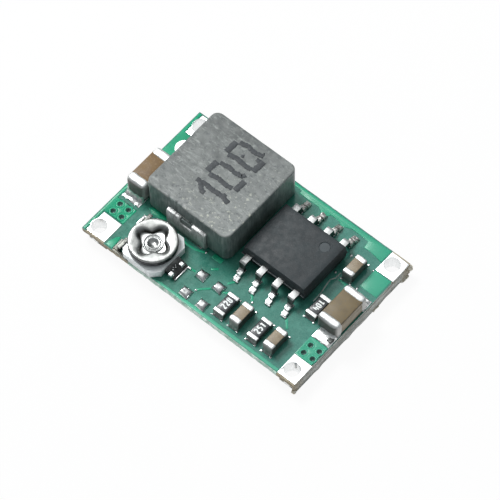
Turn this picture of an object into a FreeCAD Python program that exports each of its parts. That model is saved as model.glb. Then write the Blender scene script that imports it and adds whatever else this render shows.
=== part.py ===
"""Small adjustable step-down (buck) converter module.

A 17 x 11 mm circuit board with a plated hole in each corner. It carries a moulded
power inductor, an eight-pin converter chip, two power capacitors, three small
capacitors, three resistors, a 3 mm trimmer and four tinned voltage pads.

Frame: X along the board's long side, Y across it, Z up. The origin is at the
centre of the board's underside. All sizes are in millimetres.
"""
import FreeCAD, Part
import math
import os

Vec = FreeCAD.Vector

# Board and what is plated on it
BOARD_THICKNESS = 1.1
LAND_THICKNESS = 0.04        # tinned copper land, and the plating of the holes
COPPER_THICKNESS = 0.03      # masked copper that stands on the laminate
HOLE_RADIUS = 0.53           # open bore of a corner hole
HOLE_INSET_X = 0.77          # board edge to hole axis
HOLE_INSET_Y = 0.78
CORNER_PAD_WIDTH = 1.6       # along Y
LEFT_PAD_LENGTH = 1.43       # along X
RIGHT_PAD_LENGTH = 1.35
LEFT_PAD_BORDER = 0.33       # bare strip outside the left pads
PAD_BORDER = 0.1             # bare strip along the long edges
VIA_RADIUS = 0.15
VIA_RING = 0.09              # width of the tinned ring round a via
VIA_PITCH_X = 0.69
VIA_PITCH_Y = 0.64
VIA_FROM_PAD = 0.42          # corner pad to the first row of vias
VIAS_FROM_RIGHT = 0.65       # right board edge to the middle of the right vias
VIA_CLEARANCE = 0.06         # masked copper stays this far off a via ring

# Two-ended parts: across (X), along (Y), height, length of each end
INPUT_CAP_WIDTH = 1.45
INPUT_CAP_LENGTH = 3.1
INPUT_CAP_HEIGHT = 1.56
INPUT_CAP_END = 0.62
OUTPUT_CAP_WIDTH = 1.6
OUTPUT_CAP_LENGTH = 3.05
OUTPUT_CAP_HEIGHT = 1.21
OUTPUT_CAP_END = 0.4
SMALL_WIDTH = 0.8            # both the small capacitors and the resistors
SMALL_LENGTH = 1.6
SMALL_CAP_HEIGHT = 0.8
SMALL_CAP_END = 0.34
RESISTOR_HEIGHT = 0.45
RESISTOR_END = 0.28
END_WALL = 0.03              # metal over the ceramic at each end
FILM_THICKNESS = 0.03        # black coat on a resistor
FILM_MARGIN = 0.02

# Power inductor
INDUCTOR_LENGTH = 6.56       # along X
INDUCTOR_WIDTH = 6.68        # along Y
INDUCTOR_HEIGHT = 2.56
INDUCTOR_CORNER = 0.5
INDUCTOR_EDGE = 0.08
STRAP_THICKNESS = 0.2
STRAP_WIDTH = 3.05
STRAP_GAP = 0.04             # strap to the moulded side
STRAP_RISE = 1.56            # seat to the middle of the strap where it leaves the body
STRAP_INSIDE = 0.9
STRAP_UNDER = 1.2
STRAP_BEND = 0.05
STRAP_NOTCH_WIDTH = 0.9
STRAP_NOTCH_DROP = 0.4       # below the middle of the leaving strap
COIL_INNER = 1.1
COIL_OUTER = 2.1
COIL_HEIGHT = 1.4
COIL_TAIL = 0.6

# Converter chip
CHIP_LENGTH = 4.9            # along X
CHIP_WIDTH = 3.9             # along Y
CHIP_HEIGHT = 1.36
CHIP_STANDOFF = 0.12         # seat to the underside of the moulding
CHIP_DRAFT = 0.12            # how far the top and the underside are drawn in
CHIP_BEVEL = 0.22            # on the front long edge
CHIP_SPAN = 6.0              # toe to toe
DIMPLE_RADIUS = 0.34
DIMPLE_DEPTH = 0.04
DIMPLE_INSET_X = 1.04        # from the right end of the body
DIMPLE_INSET_Y = 0.94        # from the back side of the body
LEAD_COUNT = 4               # on each side
LEAD_PITCH = 1.27
LEAD_WIDTH = 0.42
LEAD_THICKNESS = 0.2
LEAD_SHOULDER = 0.42         # body to the top bend
LEAD_SLOPE = 0.14            # how far the leg leans out
LEAD_INSIDE = 0.5
LEAD_BEND = 0.1
PADDLE_LENGTH = 3.3
PADDLE_WIDTH = 2.3
DIE_LENGTH = 2.2
DIE_WIDTH = 1.6
DIE_THICKNESS = 0.25

# Trimmer
TRIMMER_LENGTH = 3.14        # ceramic base along X
TRIMMER_WIDTH = 3.2          # ceramic base along Y
TRIMMER_BASE_HEIGHT = 0.58
TRIMMER_CHAMFER = 0.5
ROTOR_RADIUS = 1.57
ROTOR_CLEARANCE = 0.12       # base to the lower edge of the rotor
ROTOR_HEIGHT = 0.51
ROTOR_EDGE = 0.12
ROTOR_SKIRT = 0.17           # wall of the cup
ROTOR_FLOOR = 0.1
ROTOR_CAVITY = 0.08          # under the floor, for the wiper
SLOT_CENTRE_RADIUS = 0.95
SLOT_REACH = 1.3
SLOT_WIDTH = 0.9
EYELET_RADIUS = 0.35
EYELET_RUNNING = 0.05        # radial play between the eyelet and the rotor
EYELET_HEAD_RADIUS = 0.64
EYELET_HEAD_HEIGHT = 0.1
EYELET_FOOT_RADIUS = 0.6
EYELET_FOOT_HEIGHT = 0.08
EYELET_PIT_RADIUS = 0.3
EYELET_PIT_DEPTH = 0.25
HEAD_PLAY = 0.01             # eyelet head to the rotor floor
TRACK_INNER = 0.9
TRACK_OUTER = 1.3
TRACK_THICKNESS = 0.02
TRACK_GAP_ANGLE = 70.0       # open sector towards the two end terminals
WIPER_INNER = 0.5
WIPER_THICKNESS = 0.06
CONTACT_RADIUS = 0.08
CONTACT_PLAY = 0.01          # contact to the track, so that nothing binds
TAB_THICKNESS = 0.1
TAB_WIDTH = 0.85
TAB_PITCH = 2.2              # between the two end terminals
TAB_OVER = 0.2               # over the top of the base
TAB_FOOT = 0.42              # out from the base
TAB_BEND = 0.03
WIPER_TAB_WIDTH = 1.3
WIPER_TAB_RISE = 0.4
WIPER_TAB_FOOT = 0.6
WIPER_TAB_OFFSET = 0.14      # towards the front from the rotor axis

# Tinned voltage pads and other bare spots
TEST_PAD_RADIUS = 0.35
TEST_PAD_DOME = 0.24
TEST_PITCH_X = 1.34
TEST_PITCH_Y = 1.55
TEST_FROM_FRONT = 0.65       # front edge to the first row
ROUND_PAD_RADIUS = 0.58
ROUND_PAD_FROM_CAP = 1.5     # input capacitor to the centre of the round pad

# Spaces between neighbours, from left to right through the middle of the board
INPUT_CAP_TO_EDGE = 0.31
INPUT_CAP_TO_INDUCTOR = 0.16
INDUCTOR_TO_CHIP = 0.48
CHIP_TO_SMALL = 0.52
SMALL_TO_OUTPUT_CAP = 0.18
OUTPUT_CAP_TO_EDGE = 0.04
# and from left to right along the front edge
PAD_TO_TRIMMER = 1.12
TRIMMER_TO_TEST = 1.86
TEST_TO_SMALL = 0.48
RESISTOR_TO_CAP = 0.43
PAIR_TO_PAIR = 0.62
SMALL_TO_PAD = 0.84
# and from front to back, on the chip's line and on the inductor's line
FRONT_EDGE_TO_SMALL = 0.68
SMALL_TO_CHIP_TOE = 1.56
CHIP_TOE_TO_BACK = 1.16
FRONT_EDGE_TO_TRIMMER = 0.03
TRIMMER_TO_STRAP = 0.37
STRAP_TO_BACK = 0.24
INPUT_CAP_BEHIND_PAD = 2.03  # front corner pad to the input capacitor
OUTPUT_CAP_BEHIND_PAD = 2.3
FEEDBACK_BEFORE_CHIP = 1.89  # chip centre to the resistor at its right end
BYPASS_AFTER_CHIP = 1.53     # chip centre to the capacitor at its right end

# Solder
LAND_TOE = 0.55              # land beyond the end of a power capacitor
SMALL_TOE = 0.3              # land beyond the end of a small part
LEAD_TOE_FRONT = 0.62
LEAD_TOE_BACK = 0.3
STRAP_TOE = 0.2
TAB_TOE = 0.15
LAND_SIDE = 0.04             # land wider than its part, each side
FILLET_TOE = 0.03            # height of the solder's outer edge
CAP_CLIMB = 0.55             # share of a capacitor's height that its solder climbs
RESISTOR_CLIMB = 0.7         # the same for a resistor
STRAP_CLIMB = 0.6            # height of the solder on an inductor strap

STRAP_STANDOFF = STRAP_GAP + STRAP_THICKNESS


# The rows of parts set the size of the board
middle_row = (INPUT_CAP_TO_EDGE + INPUT_CAP_WIDTH + INPUT_CAP_TO_INDUCTOR
              + INDUCTOR_LENGTH + INDUCTOR_TO_CHIP + CHIP_LENGTH + CHIP_TO_SMALL
              + SMALL_WIDTH + SMALL_TO_OUTPUT_CAP + OUTPUT_CAP_WIDTH
              + OUTPUT_CAP_TO_EDGE)
front_row = (LEFT_PAD_BORDER + LEFT_PAD_LENGTH + PAD_TO_TRIMMER + TRIMMER_LENGTH
             + TRIMMER_TO_TEST + TEST_PITCH_X + TEST_PAD_RADIUS + TEST_TO_SMALL
             + 4 * SMALL_WIDTH + 2 * RESISTOR_TO_CAP + PAIR_TO_PAIR
             + SMALL_TO_PAD + RIGHT_PAD_LENGTH)
board_length = max(middle_row, front_row)
chip_column = (FRONT_EDGE_TO_SMALL + SMALL_LENGTH + SMALL_TO_CHIP_TOE + CHIP_SPAN
               + CHIP_TOE_TO_BACK)
inductor_column = (FRONT_EDGE_TO_TRIMMER + TRIMMER_WIDTH + TRIMMER_TO_STRAP
                   + 2 * STRAP_STANDOFF + INDUCTOR_WIDTH + STRAP_TO_BACK)
board_width = max(chip_column, inductor_column)

left = -board_length / 2
right = board_length / 2
front = -board_width / 2
back = board_width / 2
top = BOARD_THICKNESS
seat = top + LAND_THICKNESS  # every part stands on its lands

input_cap_x = left + INPUT_CAP_TO_EDGE + INPUT_CAP_WIDTH / 2
inductor_x = (input_cap_x + INPUT_CAP_WIDTH / 2 + INPUT_CAP_TO_INDUCTOR
              + INDUCTOR_LENGTH / 2)
chip_x = inductor_x + INDUCTOR_LENGTH / 2 + INDUCTOR_TO_CHIP + CHIP_LENGTH / 2
side_column_x = chip_x + CHIP_LENGTH / 2 + CHIP_TO_SMALL + SMALL_WIDTH / 2
output_cap_x = (side_column_x + SMALL_WIDTH / 2 + SMALL_TO_OUTPUT_CAP
                + OUTPUT_CAP_WIDTH / 2)
trimmer_x = (left + LEFT_PAD_BORDER + LEFT_PAD_LENGTH + PAD_TO_TRIMMER
             + TRIMMER_LENGTH / 2)
test_x = trimmer_x + TRIMMER_LENGTH / 2 + TRIMMER_TO_TEST
front_small_x = (test_x + TEST_PITCH_X + TEST_PAD_RADIUS + TEST_TO_SMALL
                 + SMALL_WIDTH / 2)

front_small_y = front + FRONT_EDGE_TO_SMALL + SMALL_LENGTH / 2
chip_y = (front + FRONT_EDGE_TO_SMALL + SMALL_LENGTH + SMALL_TO_CHIP_TOE
          + CHIP_SPAN / 2)
trimmer_y = front + FRONT_EDGE_TO_TRIMMER + TRIMMER_WIDTH / 2
inductor_y = (trimmer_y + TRIMMER_WIDTH / 2 + TRIMMER_TO_STRAP + STRAP_STANDOFF
              + INDUCTOR_WIDTH / 2)
front_pad_edge = front + PAD_BORDER + CORNER_PAD_WIDTH
input_cap_y = front_pad_edge + INPUT_CAP_BEHIND_PAD + INPUT_CAP_LENGTH / 2
output_cap_y = front_pad_edge + OUTPUT_CAP_BEHIND_PAD + OUTPUT_CAP_LENGTH / 2

nodes = {}


def put(name, *solids):
    """Keep the solids of one named piece, or of one group of like pieces."""
    nodes.setdefault(name, []).extend(solids)


def block(x, y, z, across, along, height):
    """Box centred on x and y that stands on z."""
    return Part.makeBox(across, along, height, Vec(x - across / 2, y - along / 2, z))


def disc(x, y, z, radius, height):
    """Upright cylinder that stands on z."""
    return Part.makeCylinder(radius, height, Vec(x, y, z))


def ring(x, y, z, inner, outer, height):
    """Upright tube."""
    return disc(x, y, z, outer, height).cut(disc(x, y, z, inner, height))


def placed(shape, x, y, z, angle=0.0):
    """Copy of a shape made at the origin, turned about Z and moved."""
    copy = shape.copy()
    copy.rotate(Vec(0, 0, 0), Vec(0, 0, 1), angle)
    copy.translate(Vec(x, y, z))
    return copy


def upright_edges(shape):
    """Straight edges that run along Z."""
    return [e for e in shape.Edges
            if len(e.Vertexes) == 2
            and abs(e.Vertexes[0].Z - e.Vertexes[1].Z) > 1e-6
            and math.hypot(e.Vertexes[0].X - e.Vertexes[1].X,
                           e.Vertexes[0].Y - e.Vertexes[1].Y) < 1e-6]


def edges_at_height(shape, z):
    """Edges that lie in the level plane z."""
    return [e for e in shape.Edges if all(abs(v.Z - z) < 1e-6 for v in e.Vertexes)]


def extruded(outline, width):
    """Solid from an outline in the XZ plane, centred on Y."""
    points = [Vec(u, -width / 2, w) for u, w in outline]
    face = Part.Face(Part.makePolygon(points + points[:1]))
    return face.extrude(Vec(0, width, 0))


def bent_strip(path, thickness, width, bend):
    """Sheet-metal strip along a path in the XZ plane, with rounded bends."""
    normals = []
    for (u0, w0), (u1, w1) in zip(path, path[1:]):
        run = math.hypot(u1 - u0, w1 - w0)
        normals.append((-(w1 - w0) / run, (u1 - u0) / run))
    one_side = []
    other_side = []
    bends = []
    for i, (u, w) in enumerate(path):
        a = normals[max(i - 1, 0)]
        b = normals[min(i, len(normals) - 1)]
        scale = thickness / 2 / (1 + a[0] * b[0] + a[1] * b[1])
        mitre = ((a[0] + b[0]) * scale, (a[1] + b[1]) * scale)
        plus = (u + mitre[0], w + mitre[1])
        minus = (u - mitre[0], w - mitre[1])
        one_side.append(plus)
        other_side.append(minus)
        turn = a[0] * b[1] - a[1] * b[0]
        if abs(turn) > 1e-6:
            inner, outer = (plus, minus) if turn > 0 else (minus, plus)
            bends.append((inner, bend))
            bends.append((outer, bend + thickness))
    strip = extruded(one_side + other_side[::-1], width)
    for (u, w), radius in bends:
        corner = [e for e in strip.Edges
                  if all(math.hypot(v.X - u, v.Z - w) < 1e-6 for v in e.Vertexes)]
        strip = strip.makeFillet(radius, corner)
    return strip


def solder_wedge(width, reach, rise):
    """Hollow-faced solder fillet at the origin, which climbs a face at x = 0.

    The hollow is one arc. A tall fillet runs up the face, a flat one runs out along
    the land.
    """
    low = FILLET_TOE
    climb = rise - low
    radius = (reach ** 2 + climb ** 2) / (2 * min(reach, climb))
    half_turn = math.asin(max(reach, climb) / radius) / 2
    along = radius * math.sin(half_turn)
    aside = radius * (1 - math.cos(half_turn))
    if climb > reach:
        middle = (aside, rise - along)
    else:
        middle = (reach - along, low + aside)
    hollow = Vec(middle[0], -width / 2, middle[1])
    foot = Vec(0, -width / 2, 0)
    head = Vec(0, -width / 2, rise)
    toe = Vec(reach, -width / 2, low)
    heel = Vec(reach, -width / 2, 0)
    outline = Part.Wire([Part.makeLine(foot, head),
                         Part.Arc(head, hollow, toe).toShape(),
                         Part.makeLine(toe, heel),
                         Part.makeLine(heel, foot)])
    return Part.Face(outline).extrude(Vec(0, width, 0))


def land_and_fillet(x, face_y, outward, width, toe, under, rise, solder_node):
    """Land that reaches under a part's end, and the solder that climbs that end."""
    run = toe + under
    middle = face_y + outward * (toe - under) / 2
    put("component_lands",
        block(x, middle, top, width + 2 * LAND_SIDE, run, LAND_THICKNESS))
    put(solder_node,
        placed(solder_wedge(width, toe, rise), x, face_y, seat, 90 * outward))


def corner_pad(x_low, length, hole_x, y_side):
    """Plated corner hole: a land on each face of the board and the sleeve between."""
    y_middle = y_side * (back - PAD_BORDER - CORNER_PAD_WIDTH / 2)
    hole_y = y_side * (back - HOLE_INSET_Y)
    x_middle = x_low + length / 2
    upper = block(x_middle, y_middle, top, length, CORNER_PAD_WIDTH, LAND_THICKNESS)
    lower = block(x_middle, y_middle, 0, length, CORNER_PAD_WIDTH, LAND_THICKNESS)
    sleeve = disc(hole_x, hole_y, 0, HOLE_RADIUS + LAND_THICKNESS, seat)
    bore = disc(hole_x, hole_y, 0, HOLE_RADIUS, seat)
    return upper.fuse([lower, sleeve]).cut(bore).removeSplitter()


def via_places():
    """Centres of the two fields of four vias, left field first."""
    right_field_x = right - VIAS_FROM_RIGHT
    for field_x in (input_cap_x, right_field_x):
        for column in (-0.5, 0.5):
            for row in (0, 1):
                yield (field_x + column * VIA_PITCH_X,
                       front_pad_edge + VIA_FROM_PAD + row * VIA_PITCH_Y)


def make_board():
    """Laminate with its plated holes, the masked copper on it and the bare pads."""
    board = block(0, 0, 0, board_length, board_width, BOARD_THICKNESS)
    hole_x = right - HOLE_INSET_X
    left_pads = (left + LEFT_PAD_BORDER, LEFT_PAD_LENGTH, -hole_x)
    right_pads = (right - RIGHT_PAD_LENGTH, RIGHT_PAD_LENGTH, hole_x)
    for name, (x_low, length, x), side in (("front_left", left_pads, -1),
                                           ("back_left", left_pads, 1),
                                           ("front_right", right_pads, -1),
                                           ("back_right", right_pads, 1)):
        pad = corner_pad(x_low, length, x, side)
        bore = disc(x, side * (back - HOLE_INSET_Y), 0, HOLE_RADIUS, seat)
        board = board.cut(pad.fuse(bore))
        put("corner_pad_" + name, pad)

    ring_radius = VIA_RADIUS + VIA_RING
    for x, y in via_places():
        sleeve = disc(x, y, 0, VIA_RADIUS + LAND_THICKNESS, top)
        rim = disc(x, y, top, ring_radius, LAND_THICKNESS)
        bore = disc(x, y, 0, VIA_RADIUS, seat)
        via = sleeve.fuse(rim).cut(bore).removeSplitter()
        board = board.cut(via.fuse(bore))
        put("vias", via)
    put("board", board)

    pour_depth = VIA_PITCH_Y + 2 * (ring_radius + VIA_CLEARANCE)
    pour_y = front_pad_edge + VIA_FROM_PAD + VIA_PITCH_Y / 2
    pour_width = VIA_PITCH_X + 2 * (ring_radius + VIA_CLEARANCE)
    for pour_x in (input_cap_x, right - VIAS_FROM_RIGHT):
        pour = block(pour_x, pour_y, top, pour_width, pour_depth, COPPER_THICKNESS)
        for x, y in via_places():
            pour = pour.cut(disc(x, y, top, ring_radius + VIA_CLEARANCE / 2, seat))
        put("masked_copper", pour)
    strip_end = right - RIGHT_PAD_LENGTH - 2 * PAD_BORDER
    for edge_y, start, depth in ((front, test_x, TEST_FROM_FRONT - TEST_PAD_RADIUS),
                                 (back, chip_x - CHIP_LENGTH / 2,
                                  CHIP_TOE_TO_BACK - LEAD_TOE_BACK - PAD_BORDER)):
        inward = -1 if edge_y > 0 else 1
        strip_depth = depth - 2 * PAD_BORDER
        put("masked_copper",
            block((start + strip_end) / 2,
                  edge_y + inward * (PAD_BORDER + strip_depth / 2), top,
                  strip_end - start, strip_depth, COPPER_THICKNESS))


def make_bare_pads():
    """Four domed voltage pads and the round pad behind the input capacitor."""
    for column in (0, 1):
        for row in (0, 1):
            x = test_x + column * TEST_PITCH_X
            y = front + TEST_FROM_FRONT + row * TEST_PITCH_Y
            ball = (TEST_PAD_RADIUS ** 2 + TEST_PAD_DOME ** 2) / (2 * TEST_PAD_DOME)
            dome = Part.makeSphere(ball, Vec(x, y, seat + TEST_PAD_DOME - ball))
            keep = disc(x, y, seat, TEST_PAD_RADIUS, TEST_PAD_DOME)
            put("voltage_pads", disc(x, y, top, TEST_PAD_RADIUS, LAND_THICKNESS))
            put("voltage_pad_solder", dome.common(keep))
    round_y = input_cap_y + INPUT_CAP_LENGTH / 2 + ROUND_PAD_FROM_CAP
    put("round_pad", disc(input_cap_x, round_y, top, ROUND_PAD_RADIUS,
                          LAND_THICKNESS))


def make_capacitor(name, x, y, width, length, height, end, toe, solder_node):
    """Layered ceramic block with a metal cap over each end, soldered to two lands."""
    body = block(x, y, seat + END_WALL, width - 2 * END_WALL, length - 2 * END_WALL,
                 height - 2 * END_WALL)
    body = body.makeFillet(END_WALL, body.Edges)
    put(name + "_body", body)
    for outward in (-1, 1):
        cap = block(x, y + outward * (length - end) / 2, seat, width, end, height)
        inner_y = y + outward * (length / 2 - end)
        outer_edges = [e for e in cap.Edges
                       if not all(abs(v.Y - inner_y) < 1e-6 for v in e.Vertexes)]
        cap = cap.makeFillet(2 * END_WALL, outer_edges)
        put(name + "_ends", cap.cut(body))
        land_and_fillet(x, y + outward * length / 2, outward, width, toe, end,
                        CAP_CLIMB * height, solder_node)


def make_resistor(name, x, y):
    """Ceramic chip with a black coated film and a metal strip round each end."""
    body = block(x, y, seat + END_WALL, SMALL_WIDTH, SMALL_LENGTH - 2 * END_WALL,
                 RESISTOR_HEIGHT - 2 * END_WALL)
    put(name + "_body", body)
    film_length = SMALL_LENGTH - 2 * RESISTOR_END - 2 * FILM_MARGIN
    put(name + "_film",
        block(x, y, seat + RESISTOR_HEIGHT - END_WALL, SMALL_WIDTH - 2 * FILM_MARGIN,
              film_length, FILM_THICKNESS))
    for outward in (-1, 1):
        end_y = y + outward * (SMALL_LENGTH - RESISTOR_END) / 2
        strip = block(x, end_y, seat, SMALL_WIDTH, RESISTOR_END, RESISTOR_HEIGHT)
        put(name + "_ends", strip.cut(body))
        land_and_fillet(x, y + outward * SMALL_LENGTH / 2, outward, SMALL_WIDTH,
                        SMALL_TOE, RESISTOR_END, RESISTOR_CLIMB * RESISTOR_HEIGHT,
                        "small_part_solder")


def make_small_parts():
    """Resistors and small capacitors by the front edge and at the chip's right end."""
    step = SMALL_WIDTH + RESISTOR_TO_CAP
    pair = step + SMALL_WIDTH + PAIR_TO_PAIR
    make_resistor("resistor_left", front_small_x, front_small_y)
    make_resistor("resistor_right", front_small_x + pair, front_small_y)
    make_resistor("resistor_side", side_column_x, chip_y - FEEDBACK_BEFORE_CHIP)
    for name, x, y in (
            ("small_capacitor_left", front_small_x + step, front_small_y),
            ("small_capacitor_right", front_small_x + pair + step, front_small_y),
            ("small_capacitor_side", side_column_x, chip_y + BYPASS_AFTER_CHIP)):
        make_capacitor(name, x, y, SMALL_WIDTH, SMALL_LENGTH, SMALL_CAP_HEIGHT,
                       SMALL_CAP_END, SMALL_TOE, "small_part_solder")


def make_inductor():
    """Moulded body round a wire coil, with a folded strap at the front and back."""
    base = seat + STRAP_THICKNESS
    rise = STRAP_RISE
    body = block(inductor_x, inductor_y, base, INDUCTOR_LENGTH, INDUCTOR_WIDTH,
                 INDUCTOR_HEIGHT)
    body = body.makeFillet(INDUCTOR_CORNER, upright_edges(body))
    body = body.makeFillet(INDUCTOR_EDGE, edges_at_height(body, base + INDUCTOR_HEIGHT))

    middle = STRAP_GAP + STRAP_THICKNESS / 2
    path = [(-STRAP_INSIDE, rise), (middle, rise), (middle, STRAP_THICKNESS / 2),
            (-STRAP_UNDER, STRAP_THICKNESS / 2)]
    strap = bent_strip(path, STRAP_THICKNESS, STRAP_WIDTH, STRAP_BEND)
    notch = block(middle, 0, rise - STRAP_NOTCH_DROP, 2 * middle, STRAP_NOTCH_WIDTH,
                  STRAP_NOTCH_DROP + STRAP_THICKNESS)
    strap = strap.cut(notch)

    coil_z = seat + rise - COIL_HEIGHT / 2
    coil = ring(inductor_x, inductor_y, coil_z, COIL_INNER, COIL_OUTER, COIL_HEIGHT)
    for outward, side in ((-1, "front"), (1, "back")):
        face_y = inductor_y + outward * INDUCTOR_WIDTH / 2
        terminal = placed(strap, inductor_x, face_y, seat, 90 * outward)
        put("inductor_strap_" + side, terminal)
        body = body.cut(terminal)
        tail_end = face_y - outward * STRAP_INSIDE
        tail_start = inductor_y + outward * (COIL_INNER + COIL_OUTER) / 2
        tail = block(inductor_x, (tail_end + tail_start) / 2,
                     seat + rise - STRAP_THICKNESS / 2, COIL_TAIL,
                     abs(tail_end - tail_start), STRAP_THICKNESS)
        coil = coil.fuse(tail)
        strap_face = face_y + outward * STRAP_STANDOFF
        land_and_fillet(inductor_x, strap_face, outward, STRAP_WIDTH, STRAP_TOE,
                        STRAP_UNDER, STRAP_CLIMB, "inductor_solder")
    coil = coil.removeSplitter()
    put("inductor_coil", coil)
    put("inductor_body", body.cut(coil))


def rectangle_wire(x, y, z, across, along):
    """Level rectangle centred on x and y."""
    corners = [Vec(x + i * across / 2, y + j * along / 2, z)
               for i, j in ((-1, -1), (1, -1), (1, 1), (-1, 1))]
    return Part.makePolygon(corners + corners[:1])


def make_chip():
    """Moulded eight-pin package with gull-wing leads, its paddle and its die."""
    base = seat + CHIP_STANDOFF
    waist = base + CHIP_HEIGHT / 2
    inset = 2 * CHIP_DRAFT
    small = (CHIP_LENGTH - inset, CHIP_WIDTH - inset)
    sections = [rectangle_wire(chip_x, chip_y, base, *small),
                rectangle_wire(chip_x, chip_y, waist, CHIP_LENGTH, CHIP_WIDTH),
                rectangle_wire(chip_x, chip_y, base + CHIP_HEIGHT, *small)]
    body = Part.makeLoft(sections, True, True)
    front_top = chip_y - small[1] / 2
    bevel = extruded([(-CHIP_BEVEL, 0), (CHIP_BEVEL, 0), (CHIP_BEVEL, -2 * CHIP_BEVEL)],
                     CHIP_LENGTH)
    body = body.cut(placed(bevel, chip_x, front_top, base + CHIP_HEIGHT, -90))
    dimple = disc(chip_x + CHIP_LENGTH / 2 - DIMPLE_INSET_X,
                  chip_y + CHIP_WIDTH / 2 - DIMPLE_INSET_Y,
                  base + CHIP_HEIGHT - DIMPLE_DEPTH, DIMPLE_RADIUS, CHIP_HEIGHT)
    body = body.cut(dimple)

    exit_height = waist - seat
    foot = LEAD_THICKNESS / 2
    reach = (CHIP_SPAN - CHIP_WIDTH) / 2
    path = [(-LEAD_INSIDE, exit_height), (LEAD_SHOULDER, exit_height),
            (LEAD_SHOULDER + LEAD_SLOPE, foot), (reach, foot)]
    lead = bent_strip(path, LEAD_THICKNESS, LEAD_WIDTH, LEAD_BEND)
    heel_room = reach - LEAD_SHOULDER - LEAD_SLOPE + LEAD_THICKNESS
    for outward, toe in ((-1, LEAD_TOE_FRONT), (1, LEAD_TOE_BACK)):
        face_y = chip_y + outward * CHIP_WIDTH / 2
        toe_y = chip_y + outward * CHIP_SPAN / 2
        for i in range(LEAD_COUNT):
            x = chip_x + (i - (LEAD_COUNT - 1) / 2) * LEAD_PITCH
            leg = placed(lead, x, face_y, seat, 90 * outward)
            body = body.cut(leg)
            put("chip_leads", leg)
            land_and_fillet(x, toe_y, outward, LEAD_WIDTH, toe, heel_room,
                            LEAD_THICKNESS, "chip_solder")

    paddle = block(chip_x, chip_y, waist - foot, PADDLE_LENGTH, PADDLE_WIDTH,
                   LEAD_THICKNESS)
    die = block(chip_x, chip_y, waist + foot, DIE_LENGTH, DIE_WIDTH, DIE_THICKNESS)
    put("chip_paddle", paddle)
    put("chip_die", die)
    put("chip_body", body.cut(paddle).cut(die))


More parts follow.
